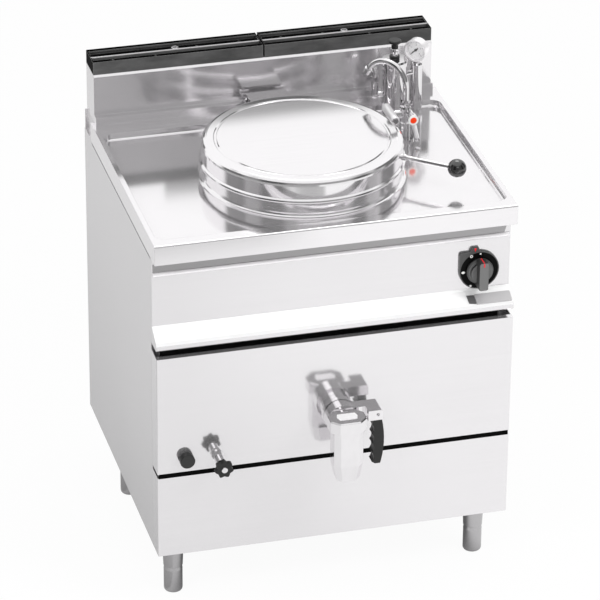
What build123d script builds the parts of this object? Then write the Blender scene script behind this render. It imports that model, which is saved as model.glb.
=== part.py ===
"""Steam-jacketed gas boiling kettle on an 800 x 700 mm cabinet.

Millimetres, +Z up, +X to the operator's right, +Y towards the wall.
The origin is on the floor, under the middle of the bounding box.
Depths are given from the front of the worktop's nosing and turned into Y by at().
"""
from build123d import *
import os
from math import cos, pi, radians, sin

# ------------------------------------------------------------------ driving dimensions
WIDTH = 800.0            # worktop, side to side
DEPTH = 700.0            # nosing front to wall
WORKTOP_Z = 900.0        # working height, top of the rim
TOTAL_Z = 1044.0         # top of the flue grille
SHEET = 2.0              # panel thickness
TAP_REACH = 121.0        # drain tap, in front of the nosing

NOSING_Y = (TAP_REACH - DEPTH) / 2
BODY_X = WIDTH / 2 - 2   # outside of the side panels
CABINET_Z = 139.0        # underside of the cabinet
NOSING_H = 45.0

WELL_Z = WORKTOP_Z - 14  # floor of the pressed well
RIM_X = 11.0             # width of the side rims
RIM_FRONT = 30.0         # width of the front rim
SHELF_DEPTH = 556.0      # depth where the rear shelf starts
RISER_DEPTH = 606.0      # depth of the small riser behind the shelf
LEDGE_Z = WORKTOP_Z + 17
CHIMNEY_DEPTH = 624.0    # depth of the backsplash
CHIMNEY_X = WIDTH / 2 - 9
GRILLE_H = 30.0
GRILLE_Z = TOTAL_Z - GRILLE_H

PAN_DEPTH = 296.0        # depth of the kettle's axis
PAN_R = 200.0            # inside of the vessel
PAN_WALL = 2.5
PAN_RIM_Z = 918.0
PAN_FLOOR_Z = 492.0
NECK_R = 218.0           # upturned neck of the worktop round the kettle
JACKET_R = 222.0
JACKET_TOP_Z = 866.0
JACKET_FLOOR_Z = 422.0
LAGGING = 12.0

LID_R = 221.0
LID_BEAD_R = 226.0
LID_TOP_Z = 972.0
LID_LOW_Z = 921.0
LID_SHOULDER = 13.0
GROOVE_R = 190.0

HINGE_DEPTH = 600.0
HINGE_Z = 926.0
HINGE_PIN_R = 4.0

FACE_DEPTH = 40.0        # control panel's face
PANEL_DEPTH = 0.0        # front panels and the control panel's lip, flush with the nosing
RETURN_DEPTH = 47.0      # where the front panels' side returns end
HEM = 14.0               # depth of their top and bottom returns
LIP_Z = 648.0
MIDDLE_Z = (345.0, 629.0)
LOWER_Z = (CABINET_Z, 336.0)

TAP_Z = 458.5            # axis of the drain valve
TAP_BORE_R = 20.0
SPOUT_DEPTH = -90.0
LEVEL_X, LEVEL_Z = -265.0, 376.0
IGNITER_X, IGNITER_Z = -335.0, 380.0
KNOB_X, KNOB_Z = 328.0, 736.0

COLUMN_X, COLUMN_DEPTH, COLUMN_TOP_Z = 273.0, 520.0, 1029.0
GAUGE_X, GAUGE_DEPTH, GAUGE_Z = 329.0, 535.0, 1039.0
GAUGE_TURN = -41.0       # the dial looks this far to the left of straight ahead
FILL_X, FILL_DEPTH, FILL_Z = 265.0, 402.0, 949.0
HOT_X = FILL_X + 7       # the hot tap's spindle, a little to the right of the pillar
SPOUT_TURN = 135.0       # parked direction of the fill spout, from +X

RUNNING = 0.05           # radial clearance of a running fit
FRAME_DEPTH = 72.0       # front of the welded frame
LEG_X = 347.0
LEG_DEPTHS = {"front": 80.0, "rear": 514.0}
FOOT_SEAM_Z = 66.0


# ------------------------------------------------------------------ small helpers
def at(depth):
    """Y of a depth measured from the nosing."""
    return NOSING_Y + depth


def slab(x0, x1, d0, d1, z0, z1):
    """Box between two X, two depths and two heights."""
    middle = Pos((x0 + x1) / 2, at((d0 + d1) / 2), (z0 + z1) / 2)
    return middle * Box(x1 - x0, d1 - d0, z1 - z0)


def post(x, depth, r, z0, z1):
    """Upright cylinder."""
    return Pos(x, at(depth), (z0 + z1) / 2) * Cylinder(r, z1 - z0)


def bar_y(x, z, r, d0, d1):
    """Cylinder along the depth."""
    return Pos(x, at((d0 + d1) / 2), z) * Rot(90, 0, 0) * Cylinder(r, abs(d1 - d0))


def bar_x(depth, z, r, x0, x1):
    """Cylinder along the width."""
    return Pos((x0 + x1) / 2, at(depth), z) * Rot(0, 90, 0) * Cylinder(r, abs(x1 - x0))


def turned(points, x=0.0, depth=PAN_DEPTH):
    """Solid of revolution about an upright axis; points are (radius, height)."""
    profile = make_face(Plane.XZ * Polyline(*points, close=True))
    return Pos(x, at(depth), 0) * revolve(profile, Axis.Z)


def side_profile(points, x0, x1):
    """Prism along X; points are (depth, height)."""
    outline = [(at(d), z) for d, z in points]
    face = make_face(Plane.YZ * Polyline(*outline, close=True))
    return Pos(x0, 0, 0) * extrude(face, x1 - x0, dir=(1, 0, 0))


def front_prism(sketch, x, z, d0, d1):
    """Prism along the depth from a sketch whose X is +X and whose Y is +Z."""
    plane = Plane(origin=(x, at(d1), z), x_dir=(1, 0, 0), z_dir=(0, -1, 0))
    return extrude(plane * sketch, d1 - d0)


# ------------------------------------------------------------------ cabinet
def side_panel(side):
    """Sheet side with flanges turned in at the front and the bottom."""
    outer, inner, flange = BODY_X, BODY_X - SHEET, BODY_X - 18
    low, high = CABINET_Z, WORKTOP_Z - NOSING_H
    front, rear = RETURN_DEPTH + 0.5, DEPTH - SHEET
    sheet = slab(inner, outer, front, rear, low, high)
    sheet += slab(flange, outer, front, front + SHEET, low, high)
    sheet += slab(flange, outer, front, rear, low, low + SHEET)
    rise = slab(CHIMNEY_X - SHEET, CHIMNEY_X, CHIMNEY_DEPTH + 4, rear, high, WORKTOP_Z)
    joggle = slab(CHIMNEY_X - SHEET, outer, CHIMNEY_DEPTH + 4, rear, high - SHEET, high)
    sheet += rise + joggle
    return sheet if side > 0 else mirror(sheet, Plane.YZ)


INLETS = {"gas_inlet": (322.0, 10.5), "hot_inlet": (FILL_X, 10.5), "cold_inlet": (215.0, 10.5)}
INLET_Z = 187.0
THREAD = 22.0            # length of each inlet's threaded end
INLET_HOLE_R = 23.0


def rear_panel():
    """Sheet back with clearance holes round the supply pipes and a louvre of vents."""
    sheet = slab(-BODY_X + SHEET, BODY_X - SHEET, DEPTH - SHEET, DEPTH, CABINET_Z, WORKTOP_Z)
    for x, _ in INLETS.values():
        sheet -= bar_y(x, INLET_Z, INLET_HOLE_R, DEPTH - 5, DEPTH + 5)
    for row in range(5):
        z = 260 + 22 * row
        sheet -= slab(-130, 130, DEPTH - 5, DEPTH + 5, z, z + 8)
    return sheet


def front_panel(low, high):
    """Pan-shaped front panel: face, side returns and short top and bottom returns."""
    block = slab(-BODY_X, BODY_X, PANEL_DEPTH, RETURN_DEPTH, low, high)
    hollow = slab(-BODY_X + SHEET, BODY_X - SHEET, PANEL_DEPTH + SHEET, RETURN_DEPTH,
                  low + SHEET, high - SHEET)
    trimmed = slab(-BODY_X + SHEET, BODY_X - SHEET, PANEL_DEPTH + HEM, RETURN_DEPTH, low, high)
    panel = block - hollow - trimmed
    corners = panel.edges().filter_by(Axis.Z).sort_by(Axis.Y)[0:2]
    return fillet(corners, 1.5)


def middle_panel():
    panel = front_panel(*MIDDLE_Z)
    panel -= bar_y(0, TAP_Z, 26.5, PANEL_DEPTH - 1, PANEL_DEPTH + 3)
    panel -= bar_y(LEVEL_X, LEVEL_Z, 8.2, PANEL_DEPTH - 1, PANEL_DEPTH + 3)
    return panel - bar_y(IGNITER_X, IGNITER_Z, 12.2, PANEL_DEPTH - 1, PANEL_DEPTH + 3)


def control_profile(inset):
    """Upright face that sweeps forward in a sloped band to a lip along its lower edge."""
    top, low = WORKTOP_Z - NOSING_H - inset, LIP_Z + inset
    face, lip = FACE_DEPTH + inset, PANEL_DEPTH + inset
    band_high, band_low = 686 - inset * 0.7, 667 - inset * 0.7
    return [(RETURN_DEPTH, top), (face, top), (face, band_high + 4), (face - 3, band_high),
            (lip + 4, band_low), (lip, band_low - 7), (lip, low + 3), (lip + 3, low),
            (RETURN_DEPTH, low)]


def control_panel():
    panel = side_profile(control_profile(0), -BODY_X, BODY_X)
    panel -= side_profile(control_profile(SHEET), -BODY_X + SHEET, BODY_X - SHEET)
    open_back = slab(-BODY_X + SHEET, BODY_X - SHEET, PANEL_DEPTH + 2 * HEM, RETURN_DEPTH + 1,
                     LIP_Z - 1, LIP_Z + SHEET + 1)
    return panel - open_back - bar_y(KNOB_X, KNOB_Z, 9, FACE_DEPTH - 1, FACE_DEPTH + 4)


def front_rails():
    """Dark cross members seen through the gaps between the front panels."""
    x, front = BODY_X - 20, RETURN_DEPTH + 1
    rails = None
    for z0, z1 in ((310, 360), (604, 656)):
        rail = slab(-x, x, front, front + 12, z0, z1)
        for side in (-1, 1):
            x0, x1 = sorted((side * (x - 32), side * x))
            rail += slab(x0, x1, front + 11, FRAME_DEPTH + 2, z0, z1)
        rails = rail if rails is None else rails + rail
    return rails


def base_frame():
    """Welded square tubes: a ring at the bottom, four posts and three sides of a ring on top."""
    tube, x, d0, d1 = 30.0, BODY_X - 22, FRAME_DEPTH, DEPTH - 10
    top = WORKTOP_Z - NOSING_H - 4
    frame = None
    for z, inner_front in ((CABINET_Z + SHEET, d0 + tube), (top - tube, d0 - 1)):
        ring = slab(-x, x, d0, d1, z, z + tube)
        ring -= slab(-x + tube, x - tube, inner_front, d1 - tube, z - 1, z + tube + 1)
        frame = ring if frame is None else frame + ring
    for side in (-1, 1):
        for depth in (d0, d1 - tube):
            x0 = side * (x - tube / 2)
            frame += slab(x0 - tube / 2, x0 + tube / 2, depth, depth + tube, CABINET_Z + SHEET, top)
        for depth in LEG_DEPTHS.values():
            inner, outer = sorted((side * (x - 60), side * x))
            frame += slab(inner, outer, depth - 28, depth + 28, CABINET_Z + SHEET, CABINET_Z + SHEET + 6)
    return frame + front_rails()


def leg_sleeve(x, depth):
    """Tapered collar fixed under the frame, bored for the foot's shank."""
    top = CABINET_Z + SHEET
    sleeve = turned([(0, top), (24, top), (24, top - 14), (21.5, FOOT_SEAM_Z), (0, FOOT_SEAM_Z)],
                    x, depth)
    return sleeve - post(x, depth, 8 + RUNNING, FOOT_SEAM_Z - 1, top - 6)


def levelling_foot(x, depth):
    """Round foot with a rolled bottom edge and a shank that screws into the collar."""
    r, roll = 21.0, 7.0
    points = [(0, 0), (r - roll, 0)]
    points += [(r - roll + roll * sin(a), roll - roll * cos(a))
               for a in (radians(step) for step in (22.5, 45, 67.5, 90))]
    points += [(r, FOOT_SEAM_Z - 9), (r - 1.5, FOOT_SEAM_Z - 1), (8, FOOT_SEAM_Z - 1),
               (8, FOOT_SEAM_Z + 44), (0, FOOT_SEAM_Z + 44)]
    return turned(points, x, depth)


# ------------------------------------------------------------------ worktop and chimney
def worktop():
    """Pressed top: raised rim, sunk well, rear shelf and a coved neck round the kettle."""
    x, low = WIDTH / 2, WORKTOP_Z - NOSING_H
    top = slab(-x, x, 0, CHIMNEY_DEPTH, low, WORKTOP_Z)
    top = fillet(top.edges().filter_by(Axis.X).group_by(Axis.Z)[-1].sort_by(Axis.Y)[0], 4)
    well = slab(-x + RIM_X, x - RIM_X, RIM_FRONT, SHELF_DEPTH, WELL_Z, WORKTOP_Z + 20)
    well = fillet(well.edges().filter_by(Axis.Z), 24)
    well = fillet(well.faces().sort_by(Axis.Z)[0].edges(), 5)
    top -= well
    under = WELL_Z - SHEET
    top -= slab(-x + SHEET, x - SHEET, SHEET, CHIMNEY_DEPTH - SHEET, low - 1, under)
    rim_hollow = slab(-x + SHEET, x - SHEET, SHEET + 4, CHIMNEY_DEPTH - SHEET, under,
                      WORKTOP_Z - SHEET)
    rim_hollow -= slab(-x + RIM_X - SHEET, x - RIM_X + SHEET, RIM_FRONT - SHEET,
                       SHELF_DEPTH + SHEET, under - 1, WORKTOP_Z)
    top -= rim_hollow
    top -= post(0, PAN_DEPTH, NECK_R + 8, low - 1, WORKTOP_Z + 1)
    cove = 10.0
    points = [(NECK_R - SHEET, under), (NECK_R + cove, under), (NECK_R + cove, WELL_Z)]
    points += [(NECK_R + cove - cove * sin(a), WELL_Z + cove - cove * cos(a))
               for a in (radians(step) for step in (18, 36, 54, 72, 90))]
    points += [(NECK_R, PAN_RIM_Z - SHEET), (NECK_R - SHEET, PAN_RIM_Z - SHEET)]
    top += turned(points)
    for x_hole, depth, r in ((FILL_X, FILL_DEPTH, 10), (COLUMN_X, COLUMN_DEPTH, 12),
                             (GAUGE_X, GAUGE_DEPTH, 7)):
        top -= post(x_hole, depth, r, low - 1, WELL_Z + 1)
    return top


def chimney():
    """Flue housing with the backsplash as its front and a small step along its foot."""
    x, rear = CHIMNEY_X, DEPTH
    shell = slab(-x, x, CHIMNEY_DEPTH, rear, WORKTOP_Z, GRILLE_Z)
    front_top = shell.edges().filter_by(Axis.X).group_by(Axis.Z)[-1].sort_by(Axis.Y)[0]
    shell = chamfer(front_top, 5)
    shell += slab(-x, x, RISER_DEPTH, CHIMNEY_DEPTH, WORKTOP_Z, LEDGE_Z)
    shell -= slab(-x + SHEET, x - SHEET, CHIMNEY_DEPTH + 7, rear - SHEET,
                  WORKTOP_Z - 1, GRILLE_Z + 1)
    shell -= slab(-x + SHEET, x - SHEET, CHIMNEY_DEPTH + SHEET, rear - SHEET,
                  WORKTOP_Z - 1, GRILLE_Z - 8)
    return shell - slab(-x + SHEET, x - SHEET, RISER_DEPTH + SHEET, CHIMNEY_DEPTH + SHEET + 1,
                        WORKTOP_Z - 1, LEDGE_Z - SHEET)


def flue_grille(side):
    """One half of the cast flue cover: a deep frame with a folded bar along its middle."""
    wall, lip, bar = 3.0, 11.0, 20.0
    x0, x1 = 2.0, CHIMNEY_X
    d0, d1 = CHIMNEY_DEPTH + 4, DEPTH
    frame = slab(x0, x1, d0, d1, GRILLE_Z, TOTAL_Z)
    frame -= slab(x0 + wall, x1 - wall, d0 + wall, d1 - wall, GRILLE_Z - 1, TOTAL_Z - wall)
    frame -= slab(x0 + wall, x1 - wall, d0 + lip, d1 - lip, TOTAL_Z - wall - 1, TOTAL_Z + 1)
    middle = (d0 + d1) / 2
    rib_top = TOTAL_Z - 1
    rib = slab(x0 + wall, x1 - wall, middle - bar / 2, middle + bar / 2, GRILLE_Z + 8, rib_top)
    rib -= slab(x0, x1, middle - bar / 2 + wall, middle + bar / 2 - wall,
                GRILLE_Z, rib_top - wall)
    frame += rib
    screw_depths = (middle, d0 + 6)
    for share in (0.12, 0.37, 0.88, 0.63):
        depth = screw_depths[0 if share < 0.5 else 1]
        frame -= post(x0 + share * (x1 - x0), depth, 2.6, TOTAL_Z - 2, TOTAL_Z + 1)
    return frame if side > 0 else mirror(frame, Plane.YZ)


# ------------------------------------------------------------------ kettle
DRAIN_DEPTH = PAN_DEPTH - 110   # where the outlet leaves the vessel's floor
DRAIN_PIPE_R = 24.0
PIPE_END = PANEL_DEPTH - 10     # the pipe's front end, inside the valve's neck


def dish(r, floor_z, knuckle, steps=4):
    """Points of a knuckle between an upright wall and a flat floor, floor first."""
    angles = [radians(90 * i / steps) for i in range(steps + 1)]
    return [(r - knuckle + knuckle * sin(a), floor_z + knuckle - knuckle * cos(a)) for a in angles]


def kettle_vessel():
    """Food vessel with a rolled-out rim and an outlet in its floor."""
    outer = [(0, PAN_FLOOR_Z - PAN_WALL)]
    outer += dish(PAN_R + PAN_WALL, PAN_FLOOR_Z - PAN_WALL, 62.5)
    outer += [(PAN_R + PAN_WALL, PAN_RIM_Z - SHEET), (NECK_R - 0.5, PAN_RIM_Z - SHEET),
              (NECK_R - 0.5, PAN_RIM_Z), (PAN_R, PAN_RIM_Z)]
    inner = dish(PAN_R, PAN_FLOOR_Z, 60)
    outer += inner[::-1] + [(0, PAN_FLOOR_Z)]
    return turned(outer) - post(0, DRAIN_DEPTH, TAP_BORE_R, PAN_FLOOR_Z - 9, PAN_FLOOR_Z + 5)


def steam_jacket():
    """Outer shell of the steam space, closed to the vessel by a ring at its top."""
    wall = 3.0
    points = [(0, JACKET_FLOOR_Z)] + dish(JACKET_R, JACKET_FLOOR_Z, 70)
    points += [(JACKET_R, JACKET_TOP_Z), (PAN_R + PAN_WALL + 0.05, JACKET_TOP_Z),
               (PAN_R + PAN_WALL + 0.05, JACKET_TOP_Z - wall), (JACKET_R - wall, JACKET_TOP_Z - wall)]
    points += dish(JACKET_R - wall, JACKET_FLOOR_Z + wall, 67)[::-1] + [(0, JACKET_FLOOR_Z + wall)]
    jacket = turned(points)
    jacket -= bar_y(0, TAP_Z, DRAIN_PIPE_R + 0.1, 0, DRAIN_DEPTH)
    return jacket


def jacket_lagging():
    """Insulation blanket round the jacket, from above the drain pipe."""
    r0, r1 = JACKET_R + 0.5, JACKET_R + LAGGING
    sleeve = post(0, PAN_DEPTH, r1, JACKET_FLOOR_Z + 72, JACKET_TOP_Z - 6)
    sleeve -= post(0, PAN_DEPTH, r0, JACKET_FLOOR_Z, JACKET_TOP_Z)
    return sleeve


def burner_chamber():
    """Firebox under the jacket, open above, with a duct up to the chimney."""
    box = slab(-215, 215, 110, 560, 262, JACKET_FLOOR_Z - 4)
    box -= slab(-212, 212, 113, 557, 265, JACKET_FLOOR_Z)
    duct = slab(-160, 160, 562, 690, 262, WORKTOP_Z - NOSING_H - 40)
    duct -= slab(-157, 157, 565, 687, 265, WORKTOP_Z)
    passage = slab(-157, 157, 550, 570, 300, 390)
    collar = slab(-160, 160, 557, 565, 297, 393)
    return box + duct + collar - passage


def burner():
    """Three ribbed burner tubes joined by a manifold at the front."""
    ramp = slab(-150, 150, 120, 140, 296, 316)
    for x in (-110, 0, 110):
        ramp += bar_y(x, 306, 14, 139, 480)
        ramp += slab(x - 5, x + 5, 160, 470, 316, 323)
    for x in (-110, 110):
        for depth in (150, 468):
            ramp += slab(x - 6, x + 6, depth - 6, depth + 6, 265, 297)
    return ramp


def drain_pipe():
    """Elbow from the vessel's floor and the straight run out to the valve."""
    top = PAN_FLOOR_Z - PAN_WALL
    pipe = bar_y(0, TAP_Z, DRAIN_PIPE_R, PIPE_END, DRAIN_DEPTH)
    pipe += post(0, DRAIN_DEPTH, DRAIN_PIPE_R, TAP_Z, top)
    pipe += Pos(0, at(DRAIN_DEPTH), TAP_Z) * Sphere(DRAIN_PIPE_R)
    pipe -= bar_y(0, TAP_Z, TAP_BORE_R, PIPE_END - 2, DRAIN_DEPTH)
    pipe -= post(0, DRAIN_DEPTH, TAP_BORE_R, TAP_Z, top + 1)
    return pipe - Pos(0, at(DRAIN_DEPTH), TAP_Z) * Sphere(TAP_BORE_R)


def drain_strainer():
    """Perforated dome over the outlet inside the vessel."""
    disc = post(0, DRAIN_DEPTH, 30, PAN_FLOOR_Z, PAN_FLOOR_Z + 3)
    disc += post(0, DRAIN_DEPTH, 19.5, PAN_FLOOR_Z - 6, PAN_FLOOR_Z)
    disc += post(0, DRAIN_DEPTH, 4, PAN_FLOOR_Z, PAN_FLOOR_Z + 22)
    for step in range(8):
        angle = 2 * pi * step / 8
        disc -= post(12 * cos(angle), DRAIN_DEPTH + 12 * sin(angle), 3, PAN_FLOOR_Z - 8, PAN_FLOOR_Z + 5)
    return disc


# ------------------------------------------------------------------ lid and its hinge
def lid_shell():
    """Pressed lid: flat top with a stiffening groove, round shoulder and beaded skirt."""
    def shoulder(r, z, radius):
        return [(r - radius + radius * sin(a), z - radius + radius * cos(a))
                for a in (radians(90 * i / 5) for i in range(6))]

    skin = [(0, LID_TOP_Z), (GROOVE_R - 4, LID_TOP_Z), (GROOVE_R - 2, LID_TOP_Z - 2.2),
            (GROOVE_R + 2, LID_TOP_Z - 2.2), (GROOVE_R + 4, LID_TOP_Z)]
    skin += shoulder(LID_R, LID_TOP_Z, LID_SHOULDER)
    skin += [(LID_R, LID_LOW_Z + 9), (LID_BEAD_R - 1, LID_LOW_Z + 6), (LID_BEAD_R, LID_LOW_Z + 3),
             (LID_BEAD_R - 1, LID_LOW_Z), (206, LID_LOW_Z), (206, LID_LOW_Z + SHEET),
             (LID_R - SHEET, LID_LOW_Z + SHEET)]
    skin += shoulder(LID_R - SHEET, LID_TOP_Z - SHEET, LID_SHOULDER - SHEET)[::-1]
    skin += [(GROOVE_R + 5, LID_TOP_Z - SHEET), (GROOVE_R + 3, LID_TOP_Z - 4.2),
             (GROOVE_R - 3, LID_TOP_Z - 4.2), (GROOVE_R - 5, LID_TOP_Z - SHEET), (0, LID_TOP_Z - SHEET)]
    return turned(skin)


def lid_liner():
    """Dished inner plate that closes the lid from below."""
    z = LID_LOW_Z
    return turned([(0, z - 4), (188, z - 4), (198, z), (206, z), (206, z + SHEET), (197, z + SHEET),
                   (187, z - 2), (0, z - 2)])


def lid_gasket():
    """Sealing ring between the lid and the vessel's rim."""
    ring = post(0, PAN_DEPTH, 215, PAN_RIM_Z + 0.3, LID_LOW_Z)
    return ring - post(0, PAN_DEPTH, 206, PAN_RIM_Z, LID_LOW_Z + 1)


STRAP_Z = (HINGE_Z + 11, HINGE_Z + 14)
STRAP_X = 46.0


def lid_strap():
    """Flat hinge strap welded to the back of the skirt, with the barrel under its rear end."""
    front = PAN_DEPTH + LID_R - 6
    strap = slab(-STRAP_X, STRAP_X, front, HINGE_DEPTH + 8, *STRAP_Z)
    strap -= post(0, PAN_DEPTH, LID_R, LID_LOW_Z, LID_TOP_Z)
    strap += bar_x(HINGE_DEPTH, HINGE_Z, 7.5, -30, 30)
    strap += slab(-30, 30, HINGE_DEPTH - 7.5, HINGE_DEPTH + 7.5, HINGE_Z, STRAP_Z[0])
    strap += slab(-24, 24, front + 8, HINGE_DEPTH - 40, HINGE_Z + 1, STRAP_Z[0])
    strap -= post(0, PAN_DEPTH, LID_BEAD_R, LID_LOW_Z - 2, LID_LOW_Z + 10)
    strap -= bar_x(HINGE_DEPTH, HINGE_Z, HINGE_PIN_R + RUNNING, -31, 31)
    return strap - post(0, PAN_DEPTH, LID_R, LID_LOW_Z, LID_TOP_Z)


def hinge_bracket():
    """Two lugs on a foot plate, bolted to the rear shelf."""
    bracket = slab(-50, 50, HINGE_DEPTH - 20, RISER_DEPTH - 0.2, WORKTOP_Z, WORKTOP_Z + 3)
    for side in (-1, 1):
        x0, x1 = sorted((side * 31, side * 44))
        bracket += bar_x(HINGE_DEPTH, HINGE_Z, 8, x0, x1)
        bracket += slab(x0, x1, HINGE_DEPTH - 8, RISER_DEPTH - 0.2, WORKTOP_Z + 3, HINGE_Z - 9)
        bracket += slab(x0, x1, HINGE_DEPTH - 8, HINGE_DEPTH + 5, HINGE_Z - 9, HINGE_Z)
    return bracket - bar_x(HINGE_DEPTH, HINGE_Z, HINGE_PIN_R, -60, 60)


def hinge_pin():
    """Hinge pin with a domed nut at each end."""
    pin = bar_x(HINGE_DEPTH, HINGE_Z, HINGE_PIN_R, -51, 51)
    for side in (-1, 1):
        x0, x1 = sorted((side * 44, side * 50))
        pin += bar_x(HINGE_DEPTH, HINGE_Z, 6.5, x0, x1)
    return pin


ROD_Z = 938.0


def rod_ends():
    """Two ends of the lid's rod: on the skirt, and inside the ball."""
    angle = radians(-22)
    direction = Vector(cos(radians(-40)), sin(radians(-40)), 0)
    root = Vector((LID_R - 1) * cos(angle), at(PAN_DEPTH) + (LID_R - 1) * sin(angle), ROD_Z)
    return root, root + direction * 128


def lid_rod():
    """Straight rod from the lid's skirt to the ball, with a collar at its root."""
    root, tip = rod_ends()
    axis = tip - root
    plane = Plane(origin=root, z_dir=axis)
    rod = extrude(plane * Circle(5), axis.length)
    rod += extrude(plane * Circle(7), 9)
    return rod - post(0, PAN_DEPTH, LID_R, LID_LOW_Z, LID_TOP_Z)


def lid_ball():
    root, tip = rod_ends()
    axis = tip - root
    ball = Pos(*tip) * Sphere(20.5)
    plane = Plane(origin=root, z_dir=axis)
    return ball - extrude(plane * Circle(5), axis.length)


# ------------------------------------------------------------------ control knob
def knob_bezel():
    """Scale plate: round, with one squared corner and a pointer tab above."""
    r = 45.0
    plate = Circle(r) + Pos(-r / 2, r / 2) * RectangleRounded(r, r, 7)
    plate += Pos(-10, r + 1) * Trapezoid(30, 18, 68)
    plate = front_prism(plate, KNOB_X, KNOB_Z, FACE_DEPTH - 6, FACE_DEPTH)
    plate -= bar_y(KNOB_X, KNOB_Z, 9, FACE_DEPTH - 8, FACE_DEPTH + 1)
    recess = front_prism(Circle(37), KNOB_X, KNOB_Z, FACE_DEPTH - 7, FACE_DEPTH - 4.5)
    return plate - recess


def control_knob():
    """Skirted knob with a deep bar to grip."""
    rear, front = FACE_DEPTH - 9, -2.0
    skirt = bar_y(KNOB_X, KNOB_Z, 30, rear - 7, rear)
    skirt = chamfer(skirt.edges().sort_by(Axis.Y)[0], 3)
    waist = bar_y(KNOB_X, KNOB_Z, 23, rear - 14, rear - 7)
    grip = front_prism(RectangleRounded(21, 67, 5), KNOB_X, KNOB_Z, front, rear - 7)
    grip = fillet(grip.faces().sort_by(Axis.Y)[0].edges(), 1.5)
    knob = skirt + waist + grip
    return knob - bar_y(KNOB_X, KNOB_Z, 5 + RUNNING, 12, rear + 1)


def valve_spindle():
    """Spindle of the gas valve, pushed in and carrying the knob."""
    spindle = bar_y(KNOB_X, KNOB_Z, 5, 13, 92)
    return spindle + bar_y(KNOB_X, KNOB_Z, 8, 86, 92)


def gas_valve():
    """Gas valve body on a bracket behind the control panel."""
    body = slab(KNOB_X - 34, KNOB_X + 16, 70, 128, KNOB_Z - 30, KNOB_Z + 30)
    body += bar_y(KNOB_X, KNOB_Z, 14, FACE_DEPTH + SHEET, 71)
    body += post(INLETS["gas_inlet"][0], 114, 10, KNOB_Z - 48, KNOB_Z - 29)
    body -= bar_y(KNOB_X, KNOB_Z, 9, 84, 101)
    return body - bar_y(KNOB_X, KNOB_Z, 5 + RUNNING, FACE_DEPTH, 90)


def gas_line():
    """Supply pipe from the rear inlet to the gas valve."""
    x, r = INLETS["gas_inlet"]
    bend = 114.0
    run = bar_y(x, INLET_Z, r - 1, bend, DEPTH) + bar_y(x, INLET_Z, r, DEPTH - THREAD, DEPTH)
    run += post(x, bend, r - 1, INLET_Z, 640) + Pos(x, at(bend), INLET_Z) * Sphere(r - 1)
    run += post(x, bend, r + 2, 640, KNOB_Z - 48)
    return run - bar_y(x, INLET_Z, r - 3.5, bend + 30, DEPTH + 1)


def water_line():
    """Cold and hot supply pipes from the rear inlets, joined by a tee under the fill tap."""
    x_hot, r = INLETS["hot_inlet"]
    x_cold, _ = INLETS["cold_inlet"]
    bend = 600.0
    run = post(x_hot, bend, r - 3, INLET_Z, 420) + post(x_cold, bend, r - 3, INLET_Z, 420)
    run += bar_x(bend, 420, r - 3, x_cold, x_hot)
    run += bar_y(x_hot, 420, r - 3, FILL_DEPTH, bend) + post(x_hot, FILL_DEPTH, r - 3, 420, 790)
    for x in (x_cold, x_hot):
        for depth, z in ((bend, INLET_Z), (bend, 420)):
            run += Pos(x, at(depth), z) * Sphere(r - 3)
        run += bar_y(x, INLET_Z, r - 1, bend, DEPTH) + bar_y(x, INLET_Z, r, DEPTH - THREAD, DEPTH)
    run += Pos(x_hot, at(FILL_DEPTH), 420) * Sphere(r - 3)
    for x in (x_cold, x_hot):
        run -= bar_y(x, INLET_Z, r - 3.5, bend + 20, DEPTH + 1)
    return run


# ------------------------------------------------------------------ drain tap
def octagon(width, depth, cut):
    """Rectangle with its four corners cut off."""
    w, d = width / 2, depth / 2
    points = [(-w, -d + cut), (-w + cut, -d), (w - cut, -d), (w, -d + cut),
              (w, d - cut), (w - cut, d), (-w + cut, d), (-w, d - cut)]
    return make_face(Polyline(*points, close=True))


SPOUT_CAP_Z = (457.5, 485.5)
SPOUT_TAPER_Z = 375.5
SPOUT_LOW_Z = 338.5
HUB_R = 26.0             # round part of the valve that the lever's ring turns on
FLANGE = (-30.0, -20.0)


def drain_valve():
    """Plug-valve body, its flange and the faceted downward spout, cast in one piece."""
    place = Pos(0, at(SPOUT_DEPTH), 0)
    cap_low, cap_top = SPOUT_CAP_Z
    cap = place * Pos(0, 0, cap_low) * extrude(octagon(81, 62, 17), cap_top - cap_low)
    cap = chamfer(cap.faces().sort_by(Axis.Z)[-1].edges(), 2.5)
    section, tip = octagon(65, 56, 12), octagon(50, 46, 10)
    body = place * Pos(0, 0, SPOUT_TAPER_Z) * extrude(section, cap_low - SPOUT_TAPER_Z)
    low = loft([place * Pos(0, 0, SPOUT_LOW_Z) * tip, place * Pos(0, 0, SPOUT_TAPER_Z) * section])
    valve = cap + body + low
    valve += bar_y(0, TAP_Z, HUB_R, -64, PIPE_END)
    valve += bar_y(0, TAP_Z, 38, *FLANGE)
    valve += bar_y(0, TAP_Z, 33, FLANGE[1], PANEL_DEPTH - 0.2)
    valve += bar_y(0, TAP_Z, 28, -69, -61)
    valve -= bar_y(0, TAP_Z, TAP_BORE_R - 4, SPOUT_DEPTH, PANEL_DEPTH + 1)
    valve -= post(0, SPOUT_DEPTH, TAP_BORE_R, SPOUT_LOW_Z - 1, TAP_Z + 10)
    return valve - bar_y(0, TAP_Z, DRAIN_PIPE_R, PIPE_END, PANEL_DEPTH + 1)


LEVER_HUB = (-58.0, -31.0)
ARM_FRONT = -82.0
GRIP_X = 72.0


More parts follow.
